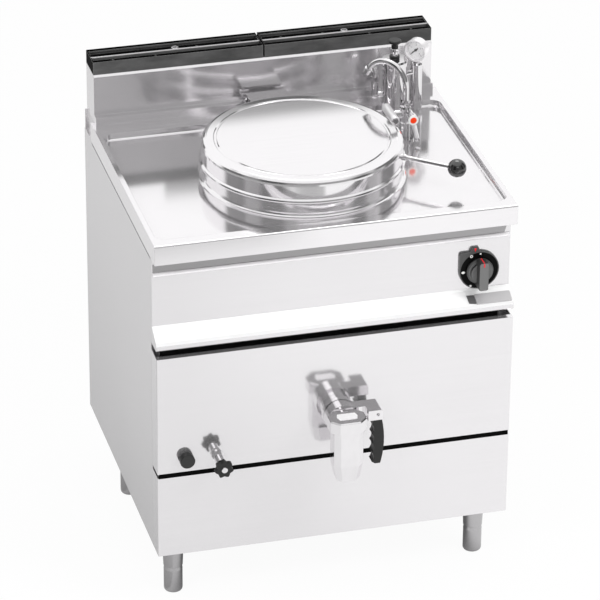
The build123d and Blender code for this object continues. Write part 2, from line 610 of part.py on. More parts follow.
def drain_lever():
    """Ring round the valve body with a flat arm reaching sideways to the grip."""
    d0, d1 = LEVER_HUB
    ring = bar_y(0, TAP_Z, 36, d0, d1)
    low, top = TAP_Z + 4, TAP_Z + 28
    arm = slab(4, 82, d0, d1, low, top) + slab(50, 82, ARM_FRONT, d1, low, top)
    arm = chamfer(arm.edges().filter_by(Axis.Y).group_by(Axis.X)[-1].sort_by(Axis.Z)[-1], 3)
    lever = ring + arm
    lever -= bar_y(0, TAP_Z, HUB_R + RUNNING, d0 - 1, d1 + 1)
    return lever - bar_y(GRIP_X, TAP_Z + 17, 3.2, ARM_FRONT - 2, ARM_FRONT + 2)


def lever_grip():
    """Moulded grip with four finger scallops and a bowed back, set into the arm from below."""
    top, low, left, right = TAP_Z + 4, TAP_Z - 105, 60.0, 81.0
    pitch, bite = 23.0, 4.5
    start = top - 12
    edge = [Line((left, top), (left, start))]
    for i in range(4):
        z = start - pitch * i
        edge.append(ThreePointArc((left, z), (left + bite, z - pitch / 2), (left, z - pitch)))
    last = start - 4 * pitch
    edge.append(Line((left, last), (left + 7, low)))
    edge.append(Line((left + 7, low), (right - 2, low)))
    edge.append(ThreePointArc((right - 2, low), (right + 5, (top + low) / 2 - 12), (right, top)))
    edge.append(Line((right, top), (left, top)))
    outline = make_face(Curve() + edge)
    return front_prism(outline, 0, 0, ARM_FRONT + 2, ARM_FRONT + 26)


# ------------------------------------------------------------------ level valve and igniter
LEVEL_BODY = PANEL_DEPTH - 38    # front end of the level valve's body
WHEEL = (LEVEL_BODY - 26, LEVEL_BODY - 14)


def level_valve():
    """Gauge-cock body screwed through the front panel."""
    face = PANEL_DEPTH
    body = bar_y(LEVEL_X, LEVEL_Z, 14, face - 4, face)
    body += front_prism(RegularPolygon(13, 6), LEVEL_X, LEVEL_Z, face - 14, face - 4)
    body += bar_y(LEVEL_X, LEVEL_Z, 11, LEVEL_BODY, face - 14)
    body += bar_y(LEVEL_X, LEVEL_Z, 8, face, face + 30)
    return body - bar_y(LEVEL_X, LEVEL_Z, 4 + RUNNING, LEVEL_BODY - 2, face + 10)


def level_wheel():
    """Seven-pointed handwheel on its spindle."""
    points = []
    lobes, tip, root = 7, 21.0, 16.5
    for i in range(lobes):
        angle = pi / 2 + 2 * pi * i / lobes
        for turn, r in ((-0.16, tip - 1.5), (0.0, tip), (0.16, tip - 1.5), (pi / lobes, root)):
            points.append((r * cos(angle + turn), r * sin(angle + turn)))
    star = make_face(Polyline(*points, close=True))
    wheel = front_prism(star, LEVEL_X, LEVEL_Z, *WHEEL)
    wheel = chamfer(wheel.faces().sort_by(Axis.Y)[0].edges(), 1)
    wheel += bar_y(LEVEL_X, LEVEL_Z, 10, WHEEL[1], LEVEL_BODY - 6)
    return wheel - bar_y(LEVEL_X, LEVEL_Z, 4, WHEEL[0] - 1, LEVEL_BODY - 5)


def level_spindle():
    """Spindle with a bright domed nut in front of the wheel."""
    nut = bar_y(LEVEL_X, LEVEL_Z, 7, WHEEL[0] - 3, WHEEL[0])
    nut = fillet(nut.edges().sort_by(Axis.Y)[0], 1.5)
    return nut + bar_y(LEVEL_X, LEVEL_Z, 4, WHEEL[0] - 1, PANEL_DEPTH + 6)


IGNITER_STEM_R = 8.0
IGNITER_COLLAR = PANEL_DEPTH - 9.5   # front of the collar that the button slides over


def igniter_base():
    """Collar and threaded housing of the spark igniter."""
    base = bar_y(IGNITER_X, IGNITER_Z, 14, IGNITER_COLLAR, PANEL_DEPTH)
    base += bar_y(IGNITER_X, IGNITER_Z, 12, PANEL_DEPTH, PANEL_DEPTH + 40)
    bore = IGNITER_STEM_R + RUNNING
    return base - bar_y(IGNITER_X, IGNITER_Z, bore, IGNITER_COLLAR - 1, PANEL_DEPTH + 32)


def igniter_button():
    """Cup-shaped push button with a stem that slides in the housing."""
    front, floor, rim = PANEL_DEPTH - 19, PANEL_DEPTH - 15, PANEL_DEPTH - 6
    button = bar_y(IGNITER_X, IGNITER_Z, 16.5, front, rim)
    button = fillet(button.edges().sort_by(Axis.Y)[0], 1.5)
    button -= bar_y(IGNITER_X, IGNITER_Z, 14.5, floor, rim + 1)
    return button + bar_y(IGNITER_X, IGNITER_Z, IGNITER_STEM_R, floor - 1, PANEL_DEPTH + 22)


# ------------------------------------------------------------------ safety group
def safety_column():
    """Wide chromed column on the jacket's vent, with a foot ring and a flat cap."""
    x, depth, top = COLUMN_X, COLUMN_DEPTH, COLUMN_TOP_Z
    column = post(x, depth, 30.5, WELL_Z, WELL_Z + 6)
    column += post(x, depth, 28, WELL_Z + 6, top - 14)
    column += turned([(0, top - 14), (30, top - 14), (30.5, top - 4), (28, top), (0, top)], x, depth)
    column += post(x, depth, 11.5, 700, WELL_Z)
    column += turned([(0, top), (9, top), (8, top + 9), (7, top + 12), (7, top + 18),
                      (0, top + 18)], x, depth)
    return column - post(x, depth, 3 + RUNNING, top + 4, top + 19)


def safety_knob():
    """Spool-shaped knob lifted to test the relief valve."""
    x, depth, z = COLUMN_X, COLUMN_DEPTH, COLUMN_TOP_Z + 18.2
    knob = turned([(0, z), (7.5, z), (8, z + 6), (7.5, z + 16), (12, z + 20), (14.5, z + 22),
                   (14.5, z + 26), (12, z + 27.5), (0, z + 27.5)], x, depth)
    return knob + post(x, depth, 3, z - 12, z)


def gauge_column():
    """Slim column beside the wide one, with a union nut at its foot and an arm between them."""
    x, depth, top = GAUGE_X, GAUGE_DEPTH, 1008.0
    column = post(x, depth, 6.5, 800, 900)
    column += post(x, depth, 11, WELL_Z, WELL_Z + 4)
    column += Pos(x, at(depth), 898) * extrude(RegularPolygon(16, 6), 16)
    column += post(x, depth, 13.5, 914, top - 4)
    column += turned([(0, top - 4), (13.5, top - 4), (11, top), (6, top + 3), (6, top + 5.5),
                      (0, top + 5.5)], x, depth)
    link = Vector(COLUMN_X - x, COLUMN_DEPTH - depth, 0)
    start = Vector(x, at(depth), 985)
    arm = extrude(Plane(origin=start, z_dir=link) * Circle(6), link.length)
    return column + arm - post(COLUMN_X, COLUMN_DEPTH, 28, 900, 1010)


def gauge_plane(back=0.0):
    """Plane of the dial: its normal looks at the operator, its origin is on the gauge's axis."""
    normal = Vector(sin(radians(GAUGE_TURN)), -cos(radians(GAUGE_TURN)), 0)
    centre = Vector(GAUGE_X, at(GAUGE_DEPTH), GAUGE_Z) + normal * (12 - back)
    return Plane(origin=centre, x_dir=(cos(radians(GAUGE_TURN)), sin(radians(GAUGE_TURN)), 0), z_dir=normal)


def gauge_case():
    """Round case with a rolled bezel, open in front of the dial."""
    case = extrude(gauge_plane(23) * Circle(25), 20)
    case += extrude(gauge_plane(4) * Circle(26), 4)
    case -= extrude(gauge_plane(9) * Circle(22.5), 12)
    return case


def gauge_dial():
    return extrude(gauge_plane(9) * Circle(22.4), 1)


NEEDLE_ANGLE = 225.0


def gauge_needle():
    """Tapered needle with a boss and a short tail."""
    needle = Polyline((-7, -1.6), (0, -1.4), (18, -0.4), (18, 0.4), (0, 1.4), (-7, 1.6), close=True)
    flat = make_face(needle) + Circle(3)
    return extrude(gauge_plane(6.2) * (Rot(0, 0, NEEDLE_ANGLE) * flat), 1)


def gauge_glass():
    return extrude(gauge_plane(3) * Circle(22.4), 1.5)


def vacuum_valve():
    """Small upright valve on an elbow from the side of the wide column."""
    x, depth = 228.0, COLUMN_DEPTH
    valve = post(x, depth, 8, 940, 1004)
    valve += Pos(x, at(depth), 980) * extrude(RegularPolygon(11, 6), 12)
    valve += Pos(x, at(depth), 945) * Sphere(9)
    valve += post(x, depth, 5.5, 1004, 1012)
    valve += bar_x(depth, 945, 7, x, COLUMN_X - 20)
    return valve - post(COLUMN_X, COLUMN_DEPTH, 28, 900, 1010)


# ------------------------------------------------------------------ fill tap
def fill_pillar():
    """Pillar, mixing body and the two headworks of the fill tap."""
    x, d, z = FILL_X, FILL_DEPTH, FILL_Z
    pillar = post(x, d, 20, WELL_Z, WELL_Z + 5) + post(x, d, 10.5, WELL_Z, z - 18)
    pillar += turned([(0, z - 22), (10.5, z - 22), (13, z - 17), (13, z + 14), (11, z + 18),
                      (0, z + 18)], x, d)
    pillar += bar_y(HOT_X, z, 10, d - 26, d)
    pillar += bar_x(d, z, 10, x - 24, x)
    pillar += post(x, d, 9.5, 790, WELL_Z)
    return pillar - post(x, d, 8 + RUNNING, z + 2, z + 20)


def fill_spout():
    """Swan neck: straight leg, then a round bow that ends a little past the horizontal."""
    r, bend = 6.5, 50.0
    foot, spring = FILL_Z + 3, 1013.0
    heading = Vector(cos(radians(SPOUT_TURN)), sin(radians(SPOUT_TURN)), 0)
    base = Vector(FILL_X, at(FILL_DEPTH), foot)
    shoulder = Vector(FILL_X, at(FILL_DEPTH), spring)
    sweep_angle = radians(152)

    def bow(angle):
        return shoulder + heading * (bend * (1 - cos(angle))) + Vector(0, 0, bend * sin(angle))

    path = Line(base, shoulder) + ThreePointArc(shoulder, bow(sweep_angle / 2), bow(sweep_angle))
    neck = sweep(Plane(origin=base, z_dir=(0, 0, 1)) * Circle(r), path=path)
    neck += post(FILL_X, FILL_DEPTH, 8, foot, FILL_Z + 18)
    neck += Pos(FILL_X, at(FILL_DEPTH), FILL_Z + 18.3) * extrude(RegularPolygon(12, 6), 11)
    end = bow(sweep_angle)
    tangent = heading * sin(sweep_angle) + Vector(0, 0, cos(sweep_angle))
    neck += extrude(Plane(origin=end, z_dir=tangent) * Circle(r + 2), 13)
    bore = extrude(Plane(origin=end, z_dir=tangent) * Circle(r - 1.5), 14)
    return neck - bore


def hot_handle():
    """Disc handle facing the operator, with a lever hanging down."""
    x, d, z = HOT_X, FILL_DEPTH - 26, FILL_Z
    handle = bar_y(x, z, 12, d - 14, d - 0.2)
    handle = fillet(handle.edges().sort_by(Axis.Y)[0], 2)
    lean = Vector(sin(radians(14)), 0, -cos(radians(14)))
    start = Vector(x, at(d - 7), z)
    lever = extrude(Plane(origin=start, z_dir=lean) * Circle(4.2), 52)
    tip = extrude(Plane(origin=start + lean * 50, z_dir=lean) * Circle(5.5), 6)
    return handle + lever + tip


def cold_handle():
    """Long round bar handle on the side of the mixing body."""
    x, d, z = FILL_X - 24, FILL_DEPTH, FILL_Z
    handle = bar_x(d, z, 8, x - 9, x - 0.2)
    bar = bar_y(x - 9, z, 8.5, d - 36, d + 44)
    bar = fillet(bar.edges().filter_by(GeomType.CIRCLE), 2)
    return handle + bar


# ------------------------------------------------------------------ write every sub-part
def sub_parts():
    parts = {
        "side_panel_left": side_panel(-1), "side_panel_right": side_panel(1),
        "rear_panel": rear_panel(), "front_panel_lower": front_panel(*LOWER_Z),
        "front_panel_middle": middle_panel(), "control_panel": control_panel(),
        "base_frame": base_frame(),
        "worktop": worktop(), "chimney": chimney(),
        "flue_grille_left": flue_grille(-1), "flue_grille_right": flue_grille(1),
        "kettle_vessel": kettle_vessel(), "steam_jacket": steam_jacket(),
        "jacket_lagging": jacket_lagging(), "burner_chamber": burner_chamber(),
        "burner": burner(), "drain_pipe": drain_pipe(), "drain_strainer": drain_strainer(),
        "lid_shell": lid_shell(), "lid_liner": lid_liner(), "lid_gasket": lid_gasket(),
        "lid_strap": lid_strap(), "hinge_bracket": hinge_bracket(), "hinge_pin": hinge_pin(),
        "lid_rod": lid_rod(), "lid_ball": lid_ball(),
        "knob_bezel": knob_bezel(), "control_knob": control_knob(),
        "valve_spindle": valve_spindle(), "gas_valve": gas_valve(), "gas_line": gas_line(),
        "water_line": water_line(),
        "drain_valve": drain_valve(), "drain_lever": drain_lever(), "lever_grip": lever_grip(),
        "level_valve": level_valve(), "level_wheel": level_wheel(),
        "level_spindle": level_spindle(),
        "igniter_base": igniter_base(), "igniter_button": igniter_button(),
        "safety_column": safety_column(),
        "safety_knob": safety_knob(), "gauge_column": gauge_column(),
        "gauge_case": gauge_case(), "gauge_dial": gauge_dial(),
        "gauge_needle": gauge_needle(), "gauge_glass": gauge_glass(),
        "vacuum_valve": vacuum_valve(), "fill_pillar": fill_pillar(),
        "fill_spout": fill_spout(), "hot_handle": hot_handle(), "cold_handle": cold_handle(),
    }
    return parts


def main():
    os.makedirs("parts", exist_ok=True)
    parts = sub_parts()
    for place, depth in LEG_DEPTHS.items():
        for side, sign in (("left", -1), ("right", 1)):
            sleeve = leg_sleeve(sign * LEG_X, depth)
            foot = levelling_foot(sign * LEG_X, depth)
            parts[f"leg_{place}_{side}"] = sleeve
            parts[f"foot_{place}_{side}"] = foot
    for name, shape in parts.items():
        export_step(shape, f"parts/{name}.step")
    print(len(parts), "sub-parts written")


main()
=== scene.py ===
"""Looks of a steam jacketed kettle on an 800 mm cabinet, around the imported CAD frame.

Metres, +Z up, the operator stands at -Y. Every CAD node keeps its shape and gets a procedural finish.
Small fittings that the CAD leaves out are built here: screws, plates, scale marks, indices.
"""

from math import cos, pi, radians, sin

import bmesh
import bpy
from mathutils import Matrix, Vector


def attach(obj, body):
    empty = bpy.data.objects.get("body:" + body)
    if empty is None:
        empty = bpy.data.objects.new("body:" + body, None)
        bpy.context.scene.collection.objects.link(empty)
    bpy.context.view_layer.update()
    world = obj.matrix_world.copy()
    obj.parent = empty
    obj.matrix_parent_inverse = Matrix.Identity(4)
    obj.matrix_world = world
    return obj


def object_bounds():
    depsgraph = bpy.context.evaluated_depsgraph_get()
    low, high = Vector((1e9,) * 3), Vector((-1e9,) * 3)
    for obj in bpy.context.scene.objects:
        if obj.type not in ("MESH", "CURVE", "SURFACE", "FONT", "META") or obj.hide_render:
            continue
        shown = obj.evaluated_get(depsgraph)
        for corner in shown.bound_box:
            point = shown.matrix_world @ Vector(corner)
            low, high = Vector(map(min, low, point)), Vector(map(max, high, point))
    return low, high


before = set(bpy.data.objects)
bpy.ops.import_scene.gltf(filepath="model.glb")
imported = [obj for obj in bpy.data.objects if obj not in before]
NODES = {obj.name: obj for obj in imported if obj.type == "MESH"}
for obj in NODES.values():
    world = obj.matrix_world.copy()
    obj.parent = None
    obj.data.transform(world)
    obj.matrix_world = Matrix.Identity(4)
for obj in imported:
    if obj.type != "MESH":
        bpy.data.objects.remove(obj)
CAD_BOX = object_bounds()
MM = 0.001


# ---------------------------------------------------------------- node helpers
def shader(name):
    """A new material, its tree and its Principled shader."""
    mat = bpy.data.materials.new(name)
    mat.use_nodes = True
    return mat, mat.node_tree, mat.node_tree.nodes["Principled BSDF"]


def feed(tree, socket, value):
    """Give an input a plain value or another node's output."""
    if isinstance(value, bpy.types.NodeSocket):
        tree.links.new(value, socket)
    else:
        socket.default_value = value


def put(tree, kind, inputs=None, **settings):
    """A node with its settings; an input is a value or another node's output."""
    node = tree.nodes.new(kind)
    for key, value in settings.items():
        setattr(node, key, value)
    for key, value in (inputs or {}).items():
        feed(tree, node.inputs[key], value)
    return node


def place(tree, scale=(1, 1, 1)):
    """Object coordinates stretched by scale."""
    where = put(tree, "ShaderNodeTexCoord").outputs["Object"]
    return put(tree, "ShaderNodeMapping", {"Vector": where, "Scale": scale}).outputs["Vector"]


def noise(tree, scale, detail=2.0, stretch=(1, 1, 1), rough=0.5):
    """Noise as a factor; scale is in cells per metre."""
    at = place(tree, stretch)
    return put(tree, "ShaderNodeTexNoise",
               {"Vector": at, "Scale": scale, "Detail": detail, "Roughness": rough}).outputs["Fac"]


def span(tree, value, low, high, to_low, to_high, smooth=False):
    """value from low..high mapped to to_low..to_high."""
    node = put(tree, "ShaderNodeMapRange",
               {"Value": value, "From Min": low, "From Max": high, "To Min": to_low, "To Max": to_high})
    if smooth:
        node.interpolation_type = "SMOOTHSTEP"
    return node.outputs["Result"]


def maths(tree, how, a, b=0.0):
    """Result of a Math node."""
    return put(tree, "ShaderNodeMath", {0: a, 1: b}, operation=how).outputs[0]


def mixed(tree, factor, a, b):
    """Colour between a and b."""
    return put(tree, "ShaderNodeMix", {0: factor, 6: a, 7: b}, data_type="RGBA").outputs[2]


def grey(value, warm=0.0):
    """Neutral colour, or a slightly warm one."""
    return (value * (1 + warm), value, value * (1 - warm), 1.0)


def steel(value):
    """Stainless steel's faint warm violet cast."""
    return (value * 1.007, value * 0.991, value * 1.007, 1.0)


def edge_mask(tree, radius=0.0012, samples=6):
    """1 on sharp edges, 0 on flat ground: how far a rounded normal leaves the true one."""
    soft = put(tree, "ShaderNodeBevel", {"Radius": radius}, samples=samples).outputs["Normal"]
    true = put(tree, "ShaderNodeNewGeometry").outputs["Normal"]
    dot = put(tree, "ShaderNodeVectorMath", {0: soft, 1: true}, operation="DOT_PRODUCT").outputs["Value"]
    return span(tree, dot, 0.995, 0.86, 0.0, 1.0)


# ---------------------------------------------------------------- materials
def brushed(name, tone, rough, stretch, metal=1.0, grain=0.03, smudge=0.05, soft_edge=0.0008):
    """Rolled or brushed stainless sheet: fine lines along one axis, faint handling marks, soft edges."""
    mat, tree, bsdf = shader(name)
    lines = noise(tree, 1.0, 3.0, stretch, 0.65)
    fine = noise(tree, 1.0, 1.0, tuple(s * 3.1 for s in stretch), 0.5)
    cloud = noise(tree, 3.2, 3.0)
    stains = noise(tree, 17.0, 4.0)
    marks = maths(tree, "ADD", maths(tree, "MULTIPLY", cloud, smudge),
                  maths(tree, "MULTIPLY", stains, smudge * 0.5))
    streaks = maths(tree, "MULTIPLY", lines, grain)
    total = maths(tree, "ADD", maths(tree, "ADD", marks, streaks), rough - 0.75 * smudge - 0.5 * grain)
    tree.links.new(total, bsdf.inputs["Roughness"])
    shade = maths(tree, "ADD", maths(tree, "MULTIPLY", lines, 0.55), maths(tree, "MULTIPLY", cloud, 0.45))
    colour = mixed(tree, span(tree, shade, 0.3, 0.7, 0.0, 1.0), steel(tone * 0.965), steel(tone * 1.02))
    tree.links.new(colour, bsdf.inputs["Base Color"])
    bsdf.inputs["Metallic"].default_value = metal
    height = maths(tree, "ADD", lines, maths(tree, "MULTIPLY", fine, 0.5))
    edge = put(tree, "ShaderNodeBevel", {"Radius": soft_edge}, samples=4).outputs["Normal"]
    bump = put(tree, "ShaderNodeBump",
               {"Height": height, "Strength": 0.05, "Distance": 0.00002, "Normal": edge})
    tree.links.new(bump.outputs["Normal"], bsdf.inputs["Normal"])
    return mat


def polished(name, tone, rough, wave=0.0):
    """Plated or mirror-polished metal with wiping marks and a faintly uneven face."""
    mat, tree, bsdf = shader(name)
    wipes = noise(tree, 40.0, 4.0, (1, 1, 0.4), 0.6)
    spots = noise(tree, 330.0, 2.0)
    total = maths(tree, "ADD", maths(tree, "MULTIPLY", wipes, 0.05), maths(tree, "MULTIPLY", spots, 0.02))
    tree.links.new(maths(tree, "ADD", total, rough - 0.035), bsdf.inputs["Roughness"])
    colour = mixed(tree, span(tree, wipes, 0.3, 0.7, 0.0, 1.0), steel(tone * 0.94), steel(tone))
    tree.links.new(colour, bsdf.inputs["Base Color"])
    bsdf.inputs["Metallic"].default_value = 1.0
    cast = noise(tree, 55.0, 2.0)
    edge = put(tree, "ShaderNodeBevel", {"Radius": 0.0006}, samples=4).outputs["Normal"]
    bump = put(tree, "ShaderNodeBump", {"Height": cast, "Strength": 0.3, "Distance": wave, "Normal": edge})
    tree.links.new(bump.outputs["Normal"], bsdf.inputs["Normal"])
    return mat


def dull(name, low, high, rough, scale, metal=1.0, tint=0.0, bumpy=0.0003):
    """Unpolished metal or painted steel: mottled colour and a rough, uneven skin."""
    mat, tree, bsdf = shader(name)
    big, small = noise(tree, scale, 5.0, rough=0.6), noise(tree, scale * 14, 3.0)
    both = maths(tree, "ADD", maths(tree, "MULTIPLY", big, 0.7), maths(tree, "MULTIPLY", small, 0.3))
    share = span(tree, both, 0.32, 0.68, 0.0, 1.0)
    tree.links.new(mixed(tree, share, grey(low, tint), grey(high, tint)), bsdf.inputs["Base Color"])
    tree.links.new(span(tree, both, 0.3, 0.7, rough - 0.08, rough + 0.08), bsdf.inputs["Roughness"])
    bsdf.inputs["Metallic"].default_value = metal
    bump = put(tree, "ShaderNodeBump", {"Height": small, "Strength": 0.4, "Distance": bumpy})
    tree.links.new(bump.outputs["Normal"], bsdf.inputs["Normal"])
    return mat


def enamel(name, base, edge_light_tone, rough, edge_size=0.0016, speckle=900.0, level=0.5, ior=1.5):
    """Black enamel or moulded plastic: fine texture, edges painted paler as a painted highlight, uneven gloss.
    """
    mat, tree, bsdf = shader(name)
    cloud = noise(tree, 14.0, 4.0, rough=0.6)
    grain = noise(tree, speckle, 2.0)
    # painted highlight: edges lightened towards a paler grey, unevenly along their length
    painted_edge_light = maths(tree, "MULTIPLY", edge_mask(tree, edge_size), span(tree, cloud, 0.3, 0.62, 0.35, 1.0))
    body = mixed(tree, cloud, grey(base * 0.8), grey(base * 1.25))
    tree.links.new(mixed(tree, painted_edge_light, body, grey(edge_light_tone)), bsdf.inputs["Base Color"])
    gloss = maths(tree, "ADD", span(tree, cloud, 0.3, 0.7, rough - 0.05, rough + 0.05),
                  maths(tree, "MULTIPLY", grain, 0.04))
    tree.links.new(gloss, bsdf.inputs["Roughness"])
    bsdf.inputs["Specular IOR Level"].default_value = level
    bsdf.inputs["IOR"].default_value = ior
    edge = put(tree, "ShaderNodeBevel", {"Radius": edge_size * 0.6}, samples=4).outputs["Normal"]
    bump = put(tree, "ShaderNodeBump",
               {"Height": grain, "Strength": 0.12, "Distance": 0.0001, "Normal": edge})
    tree.links.new(bump.outputs["Normal"], bsdf.inputs["Normal"])
    return mat


def painted(name, colour, rough=0.35):
    """Small printed or filled mark."""
    mat, tree, bsdf = shader(name)
    cloud = noise(tree, 260.0, 3.0)
    dark = tuple(c * 0.86 for c in colour[:3]) + (1.0,)
    tree.links.new(mixed(tree, cloud, dark, colour), bsdf.inputs["Base Color"])
    tree.links.new(span(tree, cloud, 0.3, 0.7, rough - 0.06, rough + 0.06), bsdf.inputs["Roughness"])
    bump = put(tree, "ShaderNodeBump", {"Height": cloud, "Strength": 0.08, "Distance": 0.0001})
    tree.links.new(bump.outputs["Normal"], bsdf.inputs["Normal"])
    return mat


def lagging_wool():
    """Mineral wool: tangled fibres in a dusty yellow-grey."""
    mat, tree, bsdf = shader("lagging_wool")
    fibre = noise(tree, 1.0, 6.0, (420, 420, 90), 0.7)
    tufts = noise(tree, 24.0, 4.0)
    share = span(tree, fibre, 0.3, 0.7, 0, 1)
    tree.links.new(mixed(tree, share, (0.33, 0.29, 0.2, 1), (0.62, 0.57, 0.43, 1)), bsdf.inputs["Base Color"])
    bsdf.inputs["Roughness"].default_value = 0.95
    height = maths(tree, "ADD", fibre, tufts)
    bump = put(tree, "ShaderNodeBump", {"Height": height, "Strength": 0.8, "Distance": 0.002})
    tree.links.new(bump.outputs["Normal"], bsdf.inputs["Normal"])
    return mat


def turned_steel():
    """Machined steel with fine rings from the lathe."""
    mat, tree, bsdf = shader("turned_steel")
    rings = put(tree, "ShaderNodeTexWave", {"Vector": place(tree), "Scale": 700.0, "Distortion": 0.6},
                bands_direction="Y").outputs["Fac"]
    tree.links.new(span(tree, rings, 0, 1, 0.2, 0.34), bsdf.inputs["Roughness"])
    tree.links.new(mixed(tree, rings, grey(0.5), grey(0.62)), bsdf.inputs["Base Color"])
    bsdf.inputs["Metallic"].default_value = 1.0
    return mat


def normal_part(tree, axis):
    """One component of the surface's true normal."""
    normal = put(tree, "ShaderNodeNewGeometry").outputs["Normal"]
    return put(tree, "ShaderNodeSeparateXYZ", {0: normal}).outputs[axis]


def banded(mat):
    """Brushed steel whose upward-facing sloped band is painted a pale, less metallic grey as a painted
    highlight.
    """
    tree = mat.node_tree
    bsdf = tree.nodes["Principled BSDF"]
    # painted highlight: faces that turn upward get a pale grey and little metal
    band = span(tree, normal_part(tree, "Z"), 0.25, 0.6, 0.0, 1.0, True)
    old = bsdf.inputs["Base Color"].links[0].from_socket
    tree.links.new(mixed(tree, band, old, grey(0.97)), bsdf.inputs["Base Color"])
    sheet_metallic, band_metallic = bsdf.inputs["Metallic"].default_value, 0.12
    tree.links.new(span(tree, band, 0.0, 1.0, sheet_metallic, band_metallic), bsdf.inputs["Metallic"])
    return mat


def faced(mat, tone):
    """Moulded plastic painted a paler grey where it faces the operator, as a painted sheen."""
    tree = mat.node_tree
    bsdf = tree.nodes["Principled BSDF"]
    # painted sheen on the faces turned towards the operator
    face = span(tree, normal_part(tree, "Y"), -0.6, -0.9, 0.0, 1.0, True)
    old = bsdf.inputs["Base Color"].links[0].from_socket
    tree.links.new(mixed(tree, face, old, grey(tone)), bsdf.inputs["Base Color"])
    return mat


def clear_glass():
    """Gauge glass: a thin gloss over a nearly clear body."""
    mat, tree, bsdf = shader("clear_glass")
    smear = noise(tree, 90.0, 3.0)
    tree.links.new(span(tree, smear, 0.3, 0.7, 0.02, 0.06), bsdf.inputs["Roughness"])
    tree.links.new(span(tree, smear, 0.3, 0.7, 0.02, 0.04), bsdf.inputs["Alpha"])
    bsdf.inputs["Base Color"].default_value = (1, 1, 1, 1)
    bsdf.inputs["IOR"].default_value = 1.5
    return mat


def threaded(name):
    """Plain pipe whose last stretch at the wall carries a thread."""
    mat = dull(name, 0.42, 0.62, 0.36, 7.0)
    tree = mat.node_tree
    bsdf = tree.nodes["Principled BSDF"]
    along = put(tree, "ShaderNodeSeparateXYZ",
                {0: put(tree, "ShaderNodeTexCoord").outputs["Object"]}).outputs["Y"]
    thread_length, pitch = 0.022, 0.0018
    start = CAD_BOX[1][1] - thread_length
    wave = maths(tree, "SINE", maths(tree, "MULTIPLY", along, 2 * pi / pitch))
    cut = maths(tree, "MULTIPLY", wave, span(tree, along, start, start + 0.0005, 0.0, 1.0))
    old = bsdf.inputs["Normal"].links[0].from_socket
    bump = put(tree, "ShaderNodeBump", {"Height": cut, "Strength": 0.9, "Distance": 0.0006, "Normal": old})
    tree.links.new(bump.outputs["Normal"], bsdf.inputs["Normal"])
    return mat


def flue_enamel():
    """Black enamel: darkest and rougher where it faces up, semi-gloss elsewhere; faces turned to the operator
    painted a paler grey as a painted reflection, edges painted paler as a painted highlight.
    """
    mat, tree, bsdf = shader("flue_enamel")
    cloud = noise(tree, 9.0, 4.0, (1, 3, 3), 0.6)
    grain = noise(tree, 700.0, 2.0)
    top = span(tree, normal_part(tree, "Z"), 0.4, 0.8, 0.0, 1.0, True)
    front = span(tree, normal_part(tree, "Y"), -0.4, -0.8, 0.0, 1.0, True)
    # painted reflection: the grey given to the faces turned to the operator
    wall = mixed(tree, span(tree, cloud, 0.3, 0.7, 0.0, 1.0), grey(0.055), grey(0.115))
    body = mixed(tree, front, grey(0.02), wall)
    body = mixed(tree, top, body, grey(0.003))
    # painted highlight on the edges
    painted_edge_light = maths(tree, "MULTIPLY", edge_mask(tree, 0.0011), span(tree, cloud, 0.25, 0.6, 0.55, 1.0))
    tree.links.new(mixed(tree, painted_edge_light, body, grey(0.30)), bsdf.inputs["Base Color"])
    gloss = maths(tree, "ADD", span(tree, top, 0.0, 1.0, 0.34, 0.6), maths(tree, "MULTIPLY", grain, 0.06))
    tree.links.new(gloss, bsdf.inputs["Roughness"])
    bsdf.inputs["Specular IOR Level"].default_value = 0.0
    bump = put(tree, "ShaderNodeBump", {"Height": grain, "Strength": 0.15, "Distance": 0.0001})
    tree.links.new(bump.outputs["Normal"], bsdf.inputs["Normal"])
    return mat


